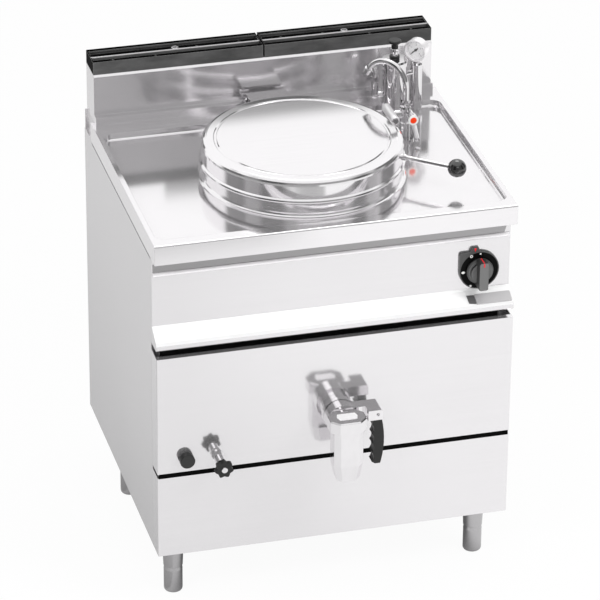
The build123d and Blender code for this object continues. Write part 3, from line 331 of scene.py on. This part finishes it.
M = {
    "front": brushed("front_steel", 0.83, 0.11, (2.0, 900, 900), metal=0.86),
    "control": banded(brushed("control_steel", 0.81, 0.12, (2.0, 900, 900), metal=0.86)),
    "side": brushed("side_steel", 0.79, 0.20, (900, 2.0, 900), metal=0.82),
    "worktop": brushed("worktop_steel", 0.88, 0.11, (3.0, 700, 700), metal=0.86, grain=0.015, smudge=0.03),
    "chimney": brushed("chimney_steel", 0.86, 0.13, (2.0, 800, 800), metal=0.90, grain=0.02, smudge=0.03),
    "lid": brushed("lid_steel", 0.88, 0.09, (3.0, 700, 700), metal=0.93, grain=0.012, smudge=0.03),
    "vessel": brushed("vessel_steel", 0.72, 0.24, (400, 400, 12)),
    "plain": dull("plain_steel", 0.42, 0.62, 0.36, 7.0),
    "pipe": threaded("pipe_steel"),
    "frame": dull("frame_paint", 0.004, 0.010, 0.6, 9.0, metal=0.0),
    "chrome": polished("chrome", 0.86, 0.05, wave=0.00003),
    "tap": polished("tap_chrome", 0.88, 0.09, wave=0.00006),
    "foot": brushed("foot_steel", 0.50, 0.22, (260, 260, 700)),
    "flue": flue_enamel(),
    # pale grey for the strips that paint the highlight along the grille bars
    "highlight_strip": painted("painted_highlight_grey", (0.62, 0.61, 0.62, 1), 0.5),
    # black for the strips that paint the shade in gaps
    "shadow": enamel("gap_shade_black", 0.002, 0.003, 0.8, level=0.05),
    "stud": polished("stud_steel", 0.75, 0.25, wave=0.00003),
    "ball": enamel("ball_phenolic", 0.008, 0.012, 0.07, speckle=300.0, ior=2.0),
    "knob": faced(enamel("knob_plastic", 0.030, 0.14, 0.40, edge_size=0.0008, level=0.3), 0.15),
    "bezel": enamel("bezel_plastic", 0.060, 0.20, 0.34, edge_size=0.0012),
    "scale": enamel("scale_black", 0.003, 0.006, 0.35, edge_size=0.0005, level=0.06),
    "grip": enamel("grip_plastic", 0.007, 0.05, 0.35, edge_size=0.0010),
    "button": enamel("button_plastic", 0.016, 0.06, 0.38, edge_size=0.0008),
    "seal": enamel("seal_rubber", 0.06, 0.10, 0.7, speckle=500.0),
    "turned": turned_steel(),
    "cast": dull("cast_alloy", 0.45, 0.6, 0.45, 30.0),
    "dial": painted("dial_white", (0.97, 0.96, 0.97, 1)),
    "needle": painted("needle_black", (0.012, 0.012, 0.012, 1)),
    "glass": clear_glass(),
    "wool": lagging_wool(),
    "white": painted("mark_white", (0.86, 0.86, 0.84, 1)),
    "red": painted("mark_red", (0.80, 0.006, 0.015, 1)),
    "index_red": painted("index_red", (0.98, 0.055, 0.004, 1), 0.2),
    "plate": brushed("plate_aluminium", 0.50, 0.30, (6, 1400, 1400), metal=0.25),
    "satin": brushed("satin_chrome", 0.93, 0.22, (300, 300, 300), metal=0.35, grain=0.01),
    # darker steel that paints the shade under the nosing
    "recess": brushed("recess_steel", 0.40, 0.30, (2.0, 900, 900), metal=0.9),
    # dark grey for the block that paints the shade at the plate's left end
    "plate_end_shade": brushed("plate_shade_grey", 0.13, 0.35, (6, 1400, 1400), metal=0.3),
}

FINISH = {
    "side": ["side_panel_left", "side_panel_right", "rear_panel"],
    "front": ["front_panel_lower", "front_panel_middle"],
    "control": ["control_panel"],
    "worktop": ["worktop"],
    "chimney": ["chimney"],
    "lid": ["lid_shell", "lid_strap", "hinge_bracket"],
    "vessel": ["kettle_vessel", "lid_liner"],
    "plain": ["steam_jacket", "burner_chamber", "burner", "drain_pipe", "drain_strainer"],
    "pipe": ["gas_line", "water_line"],
    "frame": ["base_frame"],
    "flue": ["flue_grille_left", "flue_grille_right"],
    "wool": ["jacket_lagging"],
    "seal": ["lid_gasket"],
    "foot": [f"{kind}_{end}_{side}" for kind in ("leg", "foot") for end in ("front", "rear")
             for side in ("left", "right")],
    "chrome": ["hinge_pin", "lid_rod", "level_valve", "level_spindle", "safety_column", "gauge_column",
               "vacuum_valve", "fill_pillar", "fill_spout", "hot_handle", "cold_handle"],
    "tap": ["drain_valve", "drain_lever"],
    "satin": ["gauge_case"],
    "ball": ["lid_ball"],
    "knob": ["control_knob"],
    "bezel": ["knob_bezel"],
    "grip": ["lever_grip", "level_wheel", "safety_knob"],
    "button": ["igniter_base", "igniter_button"],
    "turned": ["valve_spindle"],
    "cast": ["gas_valve"],
    "dial": ["gauge_dial"],
    "needle": ["gauge_needle"],
    "glass": ["gauge_glass"],
}
NODES["gauge_glass"].visible_shadow = False  # thin glass, so the dial stays lit
for key, names in FINISH.items():
    for node_name in names:
        NODES[node_name].data.materials.clear()
        NODES[node_name].data.materials.append(M[key])


# ---------------------------------------------------------------- mesh helpers
def mesh_object(name, bm, mat, body, smooth=True):
    """Object from a bmesh, riding on a body."""
    bmesh.ops.recalc_face_normals(bm, faces=bm.faces)
    data = bpy.data.meshes.new(name)
    bm.to_mesh(data)
    bm.free()
    obj = bpy.data.objects.new(name, data)
    bpy.context.scene.collection.objects.link(obj)
    data.materials.append(mat)
    if smooth:
        for poly in data.polygons:
            poly.use_smooth = True
        data.set_sharp_from_angle(angle=radians(38))
    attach(obj, body)
    return obj


def frame_at(origin, normal, up=(0, 0, 1)):
    """Matrix whose Z looks along normal and whose Y is as near to up as can be."""
    z = Vector(normal).normalized()
    x = Vector(up).cross(z).normalized()
    y = z.cross(x)
    m = Matrix((x, y, z)).transposed().to_4x4()
    m.translation = Vector(origin)
    return m


def circle(bm, r, h, matrix, steps):
    """Ring of vertices round the axis."""
    angles = [2 * pi * i / steps for i in range(steps)]
    return [bm.verts.new(matrix @ Vector((r * cos(a), r * sin(a), h))) for a in angles]


def lathe(bm, profile, matrix, steps=32):
    """Closed turned form; profile is (radius, height) from the axis back to the axis."""
    rings = []
    for r, h in profile:
        if r < 1e-9:
            rings.append([bm.verts.new(matrix @ Vector((0, 0, h)))])
        else:
            rings.append(circle(bm, r, h, matrix, steps))
    for a, b in zip(rings, rings[1:]):
        for i in range(steps):
            j = (i + 1) % steps
            if len(a) == 1:
                bm.faces.new((a[0], b[i], b[j]))
            elif len(b) == 1:
                bm.faces.new((a[i], a[j], b[0]))
            else:
                bm.faces.new((a[i], a[j], b[j], b[i]))


def prism(bm, outline, matrix, height, ease=0.0):
    """Closed prism from a 2-D outline, with its front edge eased."""
    xs = [p[0] for p in outline]
    ys = [p[1] for p in outline]
    cx, cy = (min(xs) + max(xs)) / 2, (min(ys) + max(ys)) / 2
    half = max(max(xs) - min(xs), max(ys) - min(ys)) / 2
    layers = [(1.0, 0.0), (1.0, height)]
    if ease > 0:
        layers[1:] = [(1.0, height - ease), (1 - ease / half, height)]
    rings = [[bm.verts.new(matrix @ Vector((cx + (x - cx) * s, cy + (y - cy) * s, h))) for x, y in outline]
             for s, h in layers]
    n = len(outline)
    bm.faces.new(rings[0][::-1])
    for a, b in zip(rings, rings[1:]):
        for i in range(n):
            bm.faces.new((a[i], a[(i + 1) % n], b[(i + 1) % n], b[i]))
    bm.faces.new(rings[-1])


def pan_screw(bm, origin, normal, r, turn=0.0):
    """Domed screw head with a sunk round drive."""
    m = frame_at(origin, normal) @ Matrix.Rotation(turn, 4, "Z")
    rise = 0.62 * r
    profile = [(0, -0.2 * r), (r * 0.98, -0.2 * r), (r, 0.12 * rise), (r * 0.93, rise * 0.55),
               (r * 0.72, rise * 0.88), (r * 0.5, rise)]
    lathe(bm, profile + [(r * 0.42, rise), (r * 0.4, rise * 0.25), (0, rise * 0.25)], m, 24)


def lathe_ring(bm, section, matrix, steps=40):
    """Ring with a closed section; section is (radius, height)."""
    rings = [circle(bm, r, h, matrix, steps) for r, h in section]
    for a, b in zip(rings, rings[1:] + rings[:1]):
        for i in range(steps):
            j = (i + 1) % steps
            bm.faces.new((a[i], a[j], b[j], b[i]))


FRONT = (0, -1, 0)
NOSING_Y = -0.2895


def deep(depth):
    """Y of a depth in millimetres behind the worktop's nosing."""
    return NOSING_Y + depth * MM


def spot(x, depth, z):
    """Point from X, depth behind the nosing and Z, all in millimetres."""
    return Vector((x * MM, deep(depth), z * MM))


def disc(bm, matrix, r, rise, sink=0.2, steps=32):
    """Low round mark or cap with an eased edge; sizes in millimetres."""
    ease = min(0.35 * rise, 0.25 * r)
    lathe(bm, [(0, -sink * MM), (r * MM, -sink * MM), (r * MM, (rise - ease) * MM),
               ((r - ease) * MM, rise * MM), (0, rise * MM)], matrix, steps)


def ring(bm, matrix, r_in, r_out, rise, sink=0.2, steps=48):
    """Flat ring with an eased outer edge; sizes in millimetres."""
    ease = min(0.4 * rise, 0.3 * (r_out - r_in))
    section = [(r_in, -sink), (r_out, -sink), (r_out, rise - ease), (r_out - ease, rise), (r_in, rise)]
    lathe_ring(bm, [(r * MM, h * MM) for r, h in section], matrix, steps)


# ---------------------------------------------------------------- control knob and its plate
PLATE_DEPTH, GRIP_DEPTH = 34.0, -2.0
KNOB_X, KNOB_Z = 328.0, 736.0


def knob_marks():
    """Black scale on the plate, four white marks, the red index on the tab and the knob's red line."""
    def on_plate(dx, dz, lift=0.0):
        return frame_at(spot(KNOB_X + dx, PLATE_DEPTH - lift, KNOB_Z + dz), FRONT)

    bm = bmesh.new()
    ring(bm, on_plate(0, 0), 25.0, 42.5, 0.5, steps=72)
    mesh_object("scale_ring", bm, M["scale"], "cabinet")
    bm = bmesh.new()
    ring(bm, on_plate(-18.7, 35.2, 0.5), 1.7, 3.4, 0.25, steps=32)
    for dx, dz, r in ((1.8, 39.2, 2.0), (-18.9, -36.4, 2.5)):
        disc(bm, on_plate(dx, dz, 0.5), r, 0.25)
    disc(bm, on_plate(-36.3, -2.0, 0.5) @ Matrix.Diagonal((1.35, 1.0, 1.0, 1.0)), 3.0, 0.25)
    mesh_object("scale_marks", bm, M["white"], "cabinet")
    bm = bmesh.new()
    prism(bm, [(-2.6 * MM, 4.5 * MM), (2.6 * MM, 4.5 * MM), (0.0, -4.5 * MM)], on_plate(-10, 49.5), 0.3 * MM)
    mesh_object("index_mark", bm, M["red"], "cabinet", smooth=False)
    bm = bmesh.new()
    top = frame_at(spot(KNOB_X, 11, KNOB_Z + 33.4), (0, 0, 1), (0, 1, 0))
    half, run = 1.4 * MM, 12.0 * MM
    prism(bm, [(-half, -run), (half, -run), (half, run), (-half, run)], top, 0.4 * MM)
    front = frame_at(spot(KNOB_X, GRIP_DEPTH, KNOB_Z + 28), FRONT)
    prism(bm, [(-half, -4 * MM), (half, -4 * MM), (half, 4 * MM), (-half, 4 * MM)], front, 0.3 * MM)
    mesh_object("knob_line", bm, M["red"], "knob", smooth=False)


def bare_plate():
    """Blank plate on the sloped band, with a dark bevelled block at its left end as painted shade."""
    slope = radians(30)
    normal = (0, -sin(slope), cos(slope))
    bm = bmesh.new()
    matrix = frame_at(spot(355.5, 15.2, 674.1), normal)
    rounded = [(-39, -13), (39, -13), (40, -12), (40, 12), (39, 13), (-39, 13), (-40, 12), (-40, -12)]
    prism(bm, [(x * MM, y * MM) for x, y in rounded], matrix, 2.4 * MM, 0.5 * MM)
    mesh_object("bare_plate", bm, M["plate"], "cabinet", smooth=False)
    bm = bmesh.new()
    # painted shade: dark block at the plate's left end
    block = [(-56, -8), (-41, -11), (-41, 11.5), (-58, 12.5)]
    prism(bm, [(x * MM, y * MM) for x, y in block], matrix, 1.6 * MM, 0.3 * MM)
    mesh_object("bare_plate_shade_block", bm, M["plate_end_shade"], "cabinet", smooth=False)


def front_trims():
    """Channel under the nosing in a darker steel as painted shade, with its rolled lower edge; black strips as
    painted shade in the gap under the worktop's sides and in the gap between the front panels.
    """
    bm = bmesh.new()
    half = 395.5 * MM
    channel = [(-half, 819.0 * MM), (384 * MM, 819.0 * MM), (390 * MM, 838.0 * MM), (-half, 838.0 * MM)]
    prism(bm, channel, frame_at(spot(0, 40.1, 0), FRONT), 0.8 * MM)
    # painted shade: this channel is a darker steel than the panels around it
    mesh_object("nosing_shade_channel", bm, M["recess"], "cabinet", smooth=False)
    bm = bmesh.new()
    roll = [(4.6 * MM * cos(radians(a)), 4.6 * MM * sin(radians(a))) for a in range(0, 360, 20)]
    across = frame_at(spot(-395.5, 39.0, 813.5), (1, 0, 0))
    prism(bm, roll, across, 2 * half)
    mesh_object("channel_roll", bm, M["satin"], "cabinet")
    bm = bmesh.new()
    # painted shade: thin black strip in the gap under each side of the worktop
    for sign in (-1, 1):
        shade_strip_frame = frame_at(spot(sign * 397.9, 336, 850.4), (sign, 0, 0))
        prism(bm, [(-287 * MM, -1.5 * MM), (287 * MM, -1.5 * MM), (287 * MM, 1.5 * MM), (-287 * MM, 1.5 * MM)],
              shade_strip_frame, 0.5 * MM)
    mesh_object("worktop_gap_shade", bm, M["shadow"], "cabinet", smooth=False)
    bm = bmesh.new()
    # painted shade: black strip over the gap between the middle and lower front panels
    strip = [(-half, 335.0 * MM), (half, 335.0 * MM), (half, 346.0 * MM), (-half, 346.0 * MM)]
    prism(bm, strip, frame_at(spot(0, 3.2, 0), FRONT), 3.5 * MM)
    mesh_object("panel_gap_shade", bm, M["shadow"], "cabinet", smooth=False)


knob_marks()
bare_plate()
front_trims()

# ---------------------------------------------------------------- flue grille
GRILLE_TOP = 1043.0


def grille_fittings():
    """Studs and round bosses on the bars, and a pale grey strip along each middle bar as a painted highlight.
    """
    highlight_strip = bmesh.new()
    for side, sign in (("left", -1), ("right", 1)):
        studs = bmesh.new()
        bosses = bmesh.new()
        for x, depth in ((292, 676), (292.5, 634.5), (100, 675), (100.5, 634.5), (6.5, 634.5), (385, 634.5)):
            z = GRILLE_TOP if depth > 650 else GRILLE_TOP + 1
            pan_screw(studs, spot(sign * x, depth, z - 0.5), (0, 0, 1), 5.2 * MM, 0.3 * x)
        at = frame_at(spot(sign * 196, 664, GRILLE_TOP), (0, 0, 1), (0, 1, 0))
        ring(bosses, at, 4.2, 8.2, 2.2)
        disc(bosses, at, 3.4, 1.0)
        mesh_object(f"grille_studs_{side}", studs, M["stud"], "cabinet")
        mesh_object(f"grille_boss_{side}", bosses, M["stud"], "cabinet")
        low, high = sorted((sign * 3.0, sign * 390.5))
        # painted highlight: pale strip along the middle bar
        crest_line(highlight_strip, low, high, 655.5, 2.4, GRILLE_TOP - 0.3, 2.0)
    mesh_object("grille_edge_glints", highlight_strip, M["highlight_strip"], "cabinet", smooth=False)


def crest_line(bm, x0, x1, depth, width, z, rise):
    """Pale grey strip along a bar's top edge: a painted highlight."""
    half, side = (x1 - x0) / 2 * MM, width / 2 * MM
    top = frame_at(spot((x0 + x1) / 2, depth, z), (0, 0, 1), (0, 1, 0))
    prism(bm, [(-half, -side), (half, -side), (half, side), (-half, side)], top, rise * MM, 0.5 * MM)


grille_fittings()

# ---------------------------------------------------------------- taps, valves and gauge
HOT_X, HOT_FRONT, TAP_HEIGHT = 272.0, 362.0, 949.0
RELIEF_X, RELIEF_DEPTH = 273, 520


def tap_fittings():
    """Hot index, the drain lever's screw and the rings of the relief valve."""
    face = frame_at(spot(HOT_X, HOT_FRONT, TAP_HEIGHT), FRONT)
    bm = bmesh.new()
    ring(bm, face, 7.2, 11.8, 0.8)
    mesh_object("hot_index_ring", bm, M["white"], "hot_tap")
    bm = bmesh.new()
    disc(bm, face, 7.4, 1.1)
    mesh_object("hot_index", bm, M["index_red"], "hot_tap")
    lean = radians(14)
    down = Vector((sin(lean), 0, -cos(lean)))
    start = spot(HOT_X, HOT_FRONT + 7, TAP_HEIGHT)
    bm = bmesh.new()
    sleeve = [(0, 13), (4.7, 13), (5.4, 15), (5.0, 34), (5.4, 46), (4.6, 48), (0, 48)]
    lathe(bm, [(r * MM, h * MM) for r, h in sleeve], frame_at(start, down, (0, 1, 0)))
    mesh_object("hot_sleeve", bm, M["satin"], "hot_tap")
    bm = bmesh.new()
    grip = [(0, -39), (8.8, -39), (10.2, -37), (10.2, -29), (9.4, -28), (10.2, -27),
            (10.2, 27), (9.4, 28), (10.2, 29), (10.2, 36), (9.0, 38), (0, 38)]
    lathe(bm, [(r * MM, h * MM) for r, h in grip], frame_at(spot(232, 406, TAP_HEIGHT), (0, 1, 0)), 40)
    mesh_object("cold_sleeve", bm, M["satin"], "cold_tap")
    bm = bmesh.new()
    # painted highlight: white patch on the drain tap's cap top where it reflects the light overhead
    highlight_outline = [(-19, -13), (19, -13), (23, 0), (20, 12), (-20, 12), (-23, 0)]
    cap_top = frame_at(spot(0, -90, 485.2), (0, 0, 1), (0, 1, 0))
    prism(bm, [(x * MM, y * MM) for x, y in highlight_outline], cap_top, 1.3 * MM, 0.4 * MM)
    mesh_object("drain_top_highlight", bm, M["dial"], "cabinet", smooth=False)
    bm = bmesh.new()
    pan_screw(bm, spot(72, -82.2, 475.5), FRONT, 3.6 * MM, 0.4)
    mesh_object("lever_screw", bm, M["stud"], "drain_handle")
    bm = bmesh.new()
    upright = frame_at(spot(RELIEF_X, RELIEF_DEPTH, 1031), (0, 0, 1), (0, 1, 0))
    ring(bm, upright, 8.6, 11.5, 6.0)
    mesh_object("relief_ring", bm, M["grip"], "cabinet")
    bm = bmesh.new()
    collar = frame_at(spot(RELIEF_X, RELIEF_DEPTH, 1050), (0, 0, 1), (0, 1, 0))
    ring(bm, collar, 7.6, 9.6, 5.0)
    mesh_object("relief_collar", bm, M["chrome"], "relief_knob")


def gauge_marks():
    """Ticks and plain numbers on the pressure gauge's dial."""
    turn = radians(-41.0)
    normal = Vector((sin(turn), -cos(turn), 0))
    centre = spot(329, 535, 1039) + normal * (4.05 * MM)
    dial = frame_at(centre, normal)
    bm = bmesh.new()
    ticks, sweep = 25, radians(270)
    for i in range(ticks):
        long = i % 6 == 0
        angle = radians(225) - sweep * i / (ticks - 1)
        inner, outer, half = (15.5 if long else 17.5), 20.0, (0.45 if long else 0.22)
        place_tick = dial @ Matrix.Rotation(angle, 4, "Z")
        prism(bm, [(inner * MM, -half * MM), (outer * MM, -half * MM), (outer * MM, half * MM),
                   (inner * MM, half * MM)], place_tick, 0.12 * MM)
    mesh_object("gauge_ticks", bm, M["needle"], "cabinet", smooth=False)
    for i in range(5):
        angle = radians(225) - sweep * i / 4
        words = bpy.data.curves.new(f"gauge_number_{i}", "FONT")
        words.body = str(i)
        words.size = 5.2 * MM
        words.extrude = 0.06 * MM
        words.align_x, words.align_y = "CENTER", "CENTER"
        obj = bpy.data.objects.new(words.name, words)
        bpy.context.scene.collection.objects.link(obj)
        reach = 11.5 * MM
        obj.matrix_world = dial @ Matrix.Translation((reach * cos(angle), reach * sin(angle), 0.06 * MM))
        words.materials.append(M["needle"])
        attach(obj, "cabinet")


tap_fittings()
gauge_marks()


# ---------------------------------------------------------------- back
def rear_screws():
    """Pan-head screws round the edge of the rear panel."""
    cabinet_depth, radius = 700, 4.0 * MM
    bm = bmesh.new()
    behind = (0, 1, 0)
    for x in (-386, -193, 0, 193, 386):
        for z in (150, 880):
            pan_screw(bm, spot(x, cabinet_depth, z), behind, radius, x * 0.7)
    for x in (-386, 386):
        for z in (330, 515, 700):
            pan_screw(bm, spot(x, cabinet_depth, z), behind, radius, z * 0.3)
    mesh_object("rear_screws", bm, M["stud"], "cabinet")


rear_screws()

# ---------------------------------------------------------------- camera
YAW, PITCH, ROLL = 0.267, 0.49, 0.009
forward = Vector((sin(YAW) * cos(PITCH), cos(YAW) * cos(PITCH), -sin(PITCH)))
level = Vector((cos(YAW), -sin(YAW), 0))
upward = level.cross(forward)
right = cos(ROLL) * level + sin(ROLL) * upward
up = -sin(ROLL) * level + cos(ROLL) * upward
FOCAL_PIXELS, PICTURE_PIXELS, SENSOR = 3931.628, 600, 36.0
lens = bpy.data.cameras.new("camera")
lens.sensor_width = SENSOR
lens.lens = FOCAL_PIXELS / PICTURE_PIXELS * SENSOR
lens.clip_start, lens.clip_end = 0.1, 60
camera = bpy.data.objects.new("camera", lens)
bpy.context.scene.collection.objects.link(camera)
turn = Matrix((right, up, -forward)).transposed().to_4x4()
turn.translation = Vector((-2.035028, -7.426482, 4.680269))
camera.matrix_world = turn
bpy.context.scene.camera = camera


# ---------------------------------------------------------------- floor, world and lamps
def seen(tree):
    """1 for camera, glossy and transmission rays, 0 for the light that the object receives."""
    path = put(tree, "ShaderNodeLightPath")
    both = maths(tree, "MAXIMUM", path.outputs["Is Camera Ray"], path.outputs["Is Glossy Ray"])
    return path, maths(tree, "MAXIMUM", both, path.outputs["Is Transmission Ray"])


def paper_tone(tree):
    """What a mirror sees on the floor: white paper in front and to the right, dimmer elsewhere, with a painted
    shadow beside the cabinet's left side and under the cabinet.
    """
    spot_at = put(tree, "ShaderNodeSeparateXYZ", {0: put(tree, "ShaderNodeNewGeometry").outputs["Position"]})
    x, y = spot_at.outputs["X"], spot_at.outputs["Y"]
    near = span(tree, y, -2.05, -1.88, 0.0, 1.0, True)
    right = span(tree, x, 0.25, 0.45, 0.0, 1.0, True)
    paper = maths(tree, "MULTIPLY", maths(tree, "MAXIMUM", near, right),
                  span(tree, x, -1.2, -0.8, 0.0, 1.0, True))
    # painted shadow on the floor along the cabinet's left side, as mirrors see it
    side = maths(tree, "MULTIPLY", span(tree, y, -0.45, -0.25, 0.0, 1.0), span(tree, x, -0.9, -0.42, 0.0, 1.0))
    left = maths(tree, "LESS_THAN", x, -0.38)
    shade = maths(tree, "MULTIPLY", side, left)
    tone = maths(tree, "MULTIPLY", span(tree, paper, 0.0, 1.0, 0.30, 0.97),
                 span(tree, x, -0.15, 0.35, 0.84, 1.0, True))
    tone = maths(tree, "MULTIPLY", tone, span(tree, shade, 0.0, 1.0, 1.0, 0.55))
    # painted shadow on the floor under the cabinet, as mirrors see it
    across = span(tree, maths(tree, "ABSOLUTE", x), 0.30, 0.42, 1.0, 0.0, True)
    along = span(tree, maths(tree, "ABSOLUTE", maths(tree, "SUBTRACT", y, 0.06)), 0.26, 0.40, 1.0, 0.0, True)
    under = maths(tree, "MULTIPLY", across, along)
    return maths(tree, "MULTIPLY", tone, span(tree, under, 0.0, 1.0, 1.0, 0.2))


def floor():
    """White paper; mirrors see it with the uneven brightness of a lit sheet."""
    bm = bmesh.new()
    bmesh.ops.create_grid(bm, x_segments=1, y_segments=1, size=14.0)
    data = bpy.data.meshes.new("floor")
    bm.to_mesh(data)
    bm.free()
    obj = bpy.data.objects.new("floor", data)
    bpy.context.scene.collection.objects.link(obj)
    mat = bpy.data.materials.new("floor")
    mat.use_nodes = True
    tree = mat.node_tree
    tree.nodes.clear()
    path, plain = seen(tree)
    diffuse = put(tree, "ShaderNodeBsdfDiffuse", {"Color": (0.88, 0.88, 0.88, 1)})
    strength = span(tree, path.outputs["Is Glossy Ray"], 0.0, 1.0, 1.0, 0.0)
    mirrored = maths(tree, "MULTIPLY", path.outputs["Is Glossy Ray"], paper_tone(tree))
    strength = maths(tree, "ADD", strength, mirrored)
    glow = put(tree, "ShaderNodeEmission", {"Color": (1, 1, 1, 1), "Strength": strength})
    share = maths(tree, "MULTIPLY", plain, span(tree, path.outputs["Is Glossy Ray"], 0.0, 1.0, 0.95, 0.75))
    mix = put(tree, "ShaderNodeMixShader", {0: share, 1: diffuse.outputs[0], 2: glow.outputs[0]})
    put(tree, "ShaderNodeOutputMaterial", {"Surface": mix.outputs[0]})
    data.materials.append(mat)


floor()


def studio():
    """White to the camera; mirrors see a white wall behind, white overhead and a dim room in front."""
    world = bpy.data.worlds.new("studio")
    bpy.context.scene.world = world
    world.use_nodes = True
    tree = world.node_tree
    tree.nodes.clear()
    path = put(tree, "ShaderNodeLightPath")
    ray = put(tree, "ShaderNodeSeparateXYZ", {0: put(tree, "ShaderNodeTexCoord").outputs["Generated"]})
    x, y, z = (ray.outputs[k] for k in "XYZ")
    behind = span(tree, y, -0.25, 0.15, 0.0, 1.0, True)
    overhead = span(tree, z, 0.70, 0.84, 0.0, 0.86, True)
    room = span(tree, x, -0.4, 0.9, 0.24, 0.36, True)
    bright = maths(tree, "MAXIMUM", behind, overhead)
    lit = maths(tree, "ADD", maths(tree, "MULTIPLY", bright, 1.06),
                maths(tree, "MULTIPLY", maths(tree, "SUBTRACT", 1.0, bright), room))
    lit = maths(tree, "MULTIPLY", lit, flags(tree, x, y, z))
    front = lamp_patch(tree, maths(tree, "MULTIPLY", y, -1.0), ((x, -0.30, 0.12), (z, 0.50, 0.66)))
    rear = lamp_patch(tree, y, ((x, -0.06, 0.34), (z, 0.73, 0.89)))
    lit = maths(tree, "MAXIMUM", lit, maths(tree, "MULTIPLY", front, 1.4))
    lit = maths(tree, "MAXIMUM", lit, maths(tree, "MULTIPLY", rear, 4.5))
    world_tone = mixed(tree, path.outputs["Is Glossy Ray"], grey(0.78),
                   put(tree, "ShaderNodeCombineColor", {0: lit, 1: lit, 2: lit}).outputs[0])
    direct = maths(tree, "MAXIMUM", path.outputs["Is Camera Ray"], path.outputs["Is Transmission Ray"])
    back = put(tree, "ShaderNodeBackground",
               {"Color": mixed(tree, direct, world_tone, grey(1.0)), "Strength": 1.0})
    put(tree, "ShaderNodeOutputWorld", {"Surface": back.outputs[0]})


def flags(tree, x, y, z):
    """Black flags at the studio's corners, which draw dark streaks down chrome; 1 is clear, 0 is black."""
    turn = maths(tree, "ARCTAN2", x, maths(tree, "MULTIPLY", y, -1.0))
    low = span(tree, z, 0.60, 0.72, 1.0, 0.0, True)
    total = None
    for middle, half in ((0.95, 0.13), (-0.85, 0.20), (1.75, 0.20), (-1.70, 0.22)):
        off = maths(tree, "ABSOLUTE", maths(tree, "SUBTRACT", turn, middle))
        clear = span(tree, off, half - 0.04, half + 0.14, 0.10, 1.0, True)
        total = clear if total is None else maths(tree, "MULTIPLY", total, clear)
    dark = maths(tree, "MULTIPLY", maths(tree, "SUBTRACT", 1.0, total), low)
    return maths(tree, "SUBTRACT", 1.0, dark)


def lamp_patch(tree, toward, ranges):
    """Soft-edged window of light, which mirrors show as a highlight."""
    masks = []
    for value, low, high in ranges:
        masks.append(span(tree, value, low - 0.04, low + 0.02, 0.0, 1.0, True))
        masks.append(span(tree, value, high - 0.02, high + 0.04, 1.0, 0.0, True))
    masks.append(maths(tree, "GREATER_THAN", toward, 0.0))
    total = masks[0]
    for mask in masks[1:]:
        total = maths(tree, "MULTIPLY", total, mask)
    return total


studio()


def card():
    """Grey card behind the flue, seen only by mirrors; it fades to white at its top."""
    x0, x1, y, z0, z1 = -0.20, 0.38, 0.47, 1.03, 1.155
    bm = bmesh.new()
    bm.faces.new([bm.verts.new(c) for c in ((x0, y, z0), (x1, y, z0), (x1, y, z1), (x0, y, z1))])
    data = bpy.data.meshes.new("card")
    bm.to_mesh(data)
    bm.free()
    obj = bpy.data.objects.new("card", data)
    bpy.context.scene.collection.objects.link(obj)
    mat = bpy.data.materials.new("card")
    mat.use_nodes = True
    tree = mat.node_tree
    tree.nodes.clear()
    at = put(tree, "ShaderNodeNewGeometry").outputs["Position"]
    height = put(tree, "ShaderNodeSeparateXYZ", {0: at}).outputs["Z"]
    tone = span(tree, height, 1.125, 1.154, 0.38, 0.9, True)
    glow = put(tree, "ShaderNodeEmission", {"Color": (1, 1, 1, 1), "Strength": tone})
    put(tree, "ShaderNodeOutputMaterial", {"Surface": glow.outputs[0]})
    data.materials.append(mat)
    obj.visible_camera = obj.visible_diffuse = obj.visible_shadow = obj.visible_transmission = False


card()


def softbox(name, where, target, size, watts):
    """Rectangular lamp that mirrors don't see, aimed at a point."""
    data = bpy.data.lights.new(name, "AREA")
    data.shape = "RECTANGLE"
    data.size, data.size_y = size
    data.energy = watts
    obj = bpy.data.objects.new(name, data)
    bpy.context.scene.collection.objects.link(obj)
    obj.location = where
    obj.visible_glossy = False
    obj.rotation_mode = "QUATERNION"
    obj.rotation_quaternion = (Vector(target) - Vector(where)).to_track_quat("-Z", "Y")


softbox("key", (2.2, -2.6, 3.4), (0, 0, 0.8), (1.8, 1.2), 75)
softbox("fill", (-2.8, -2.2, 2.6), (0, 0, 0.7), (1.6, 1.6), 50)

scene = bpy.context.scene
scene.view_settings.view_transform = "Standard"
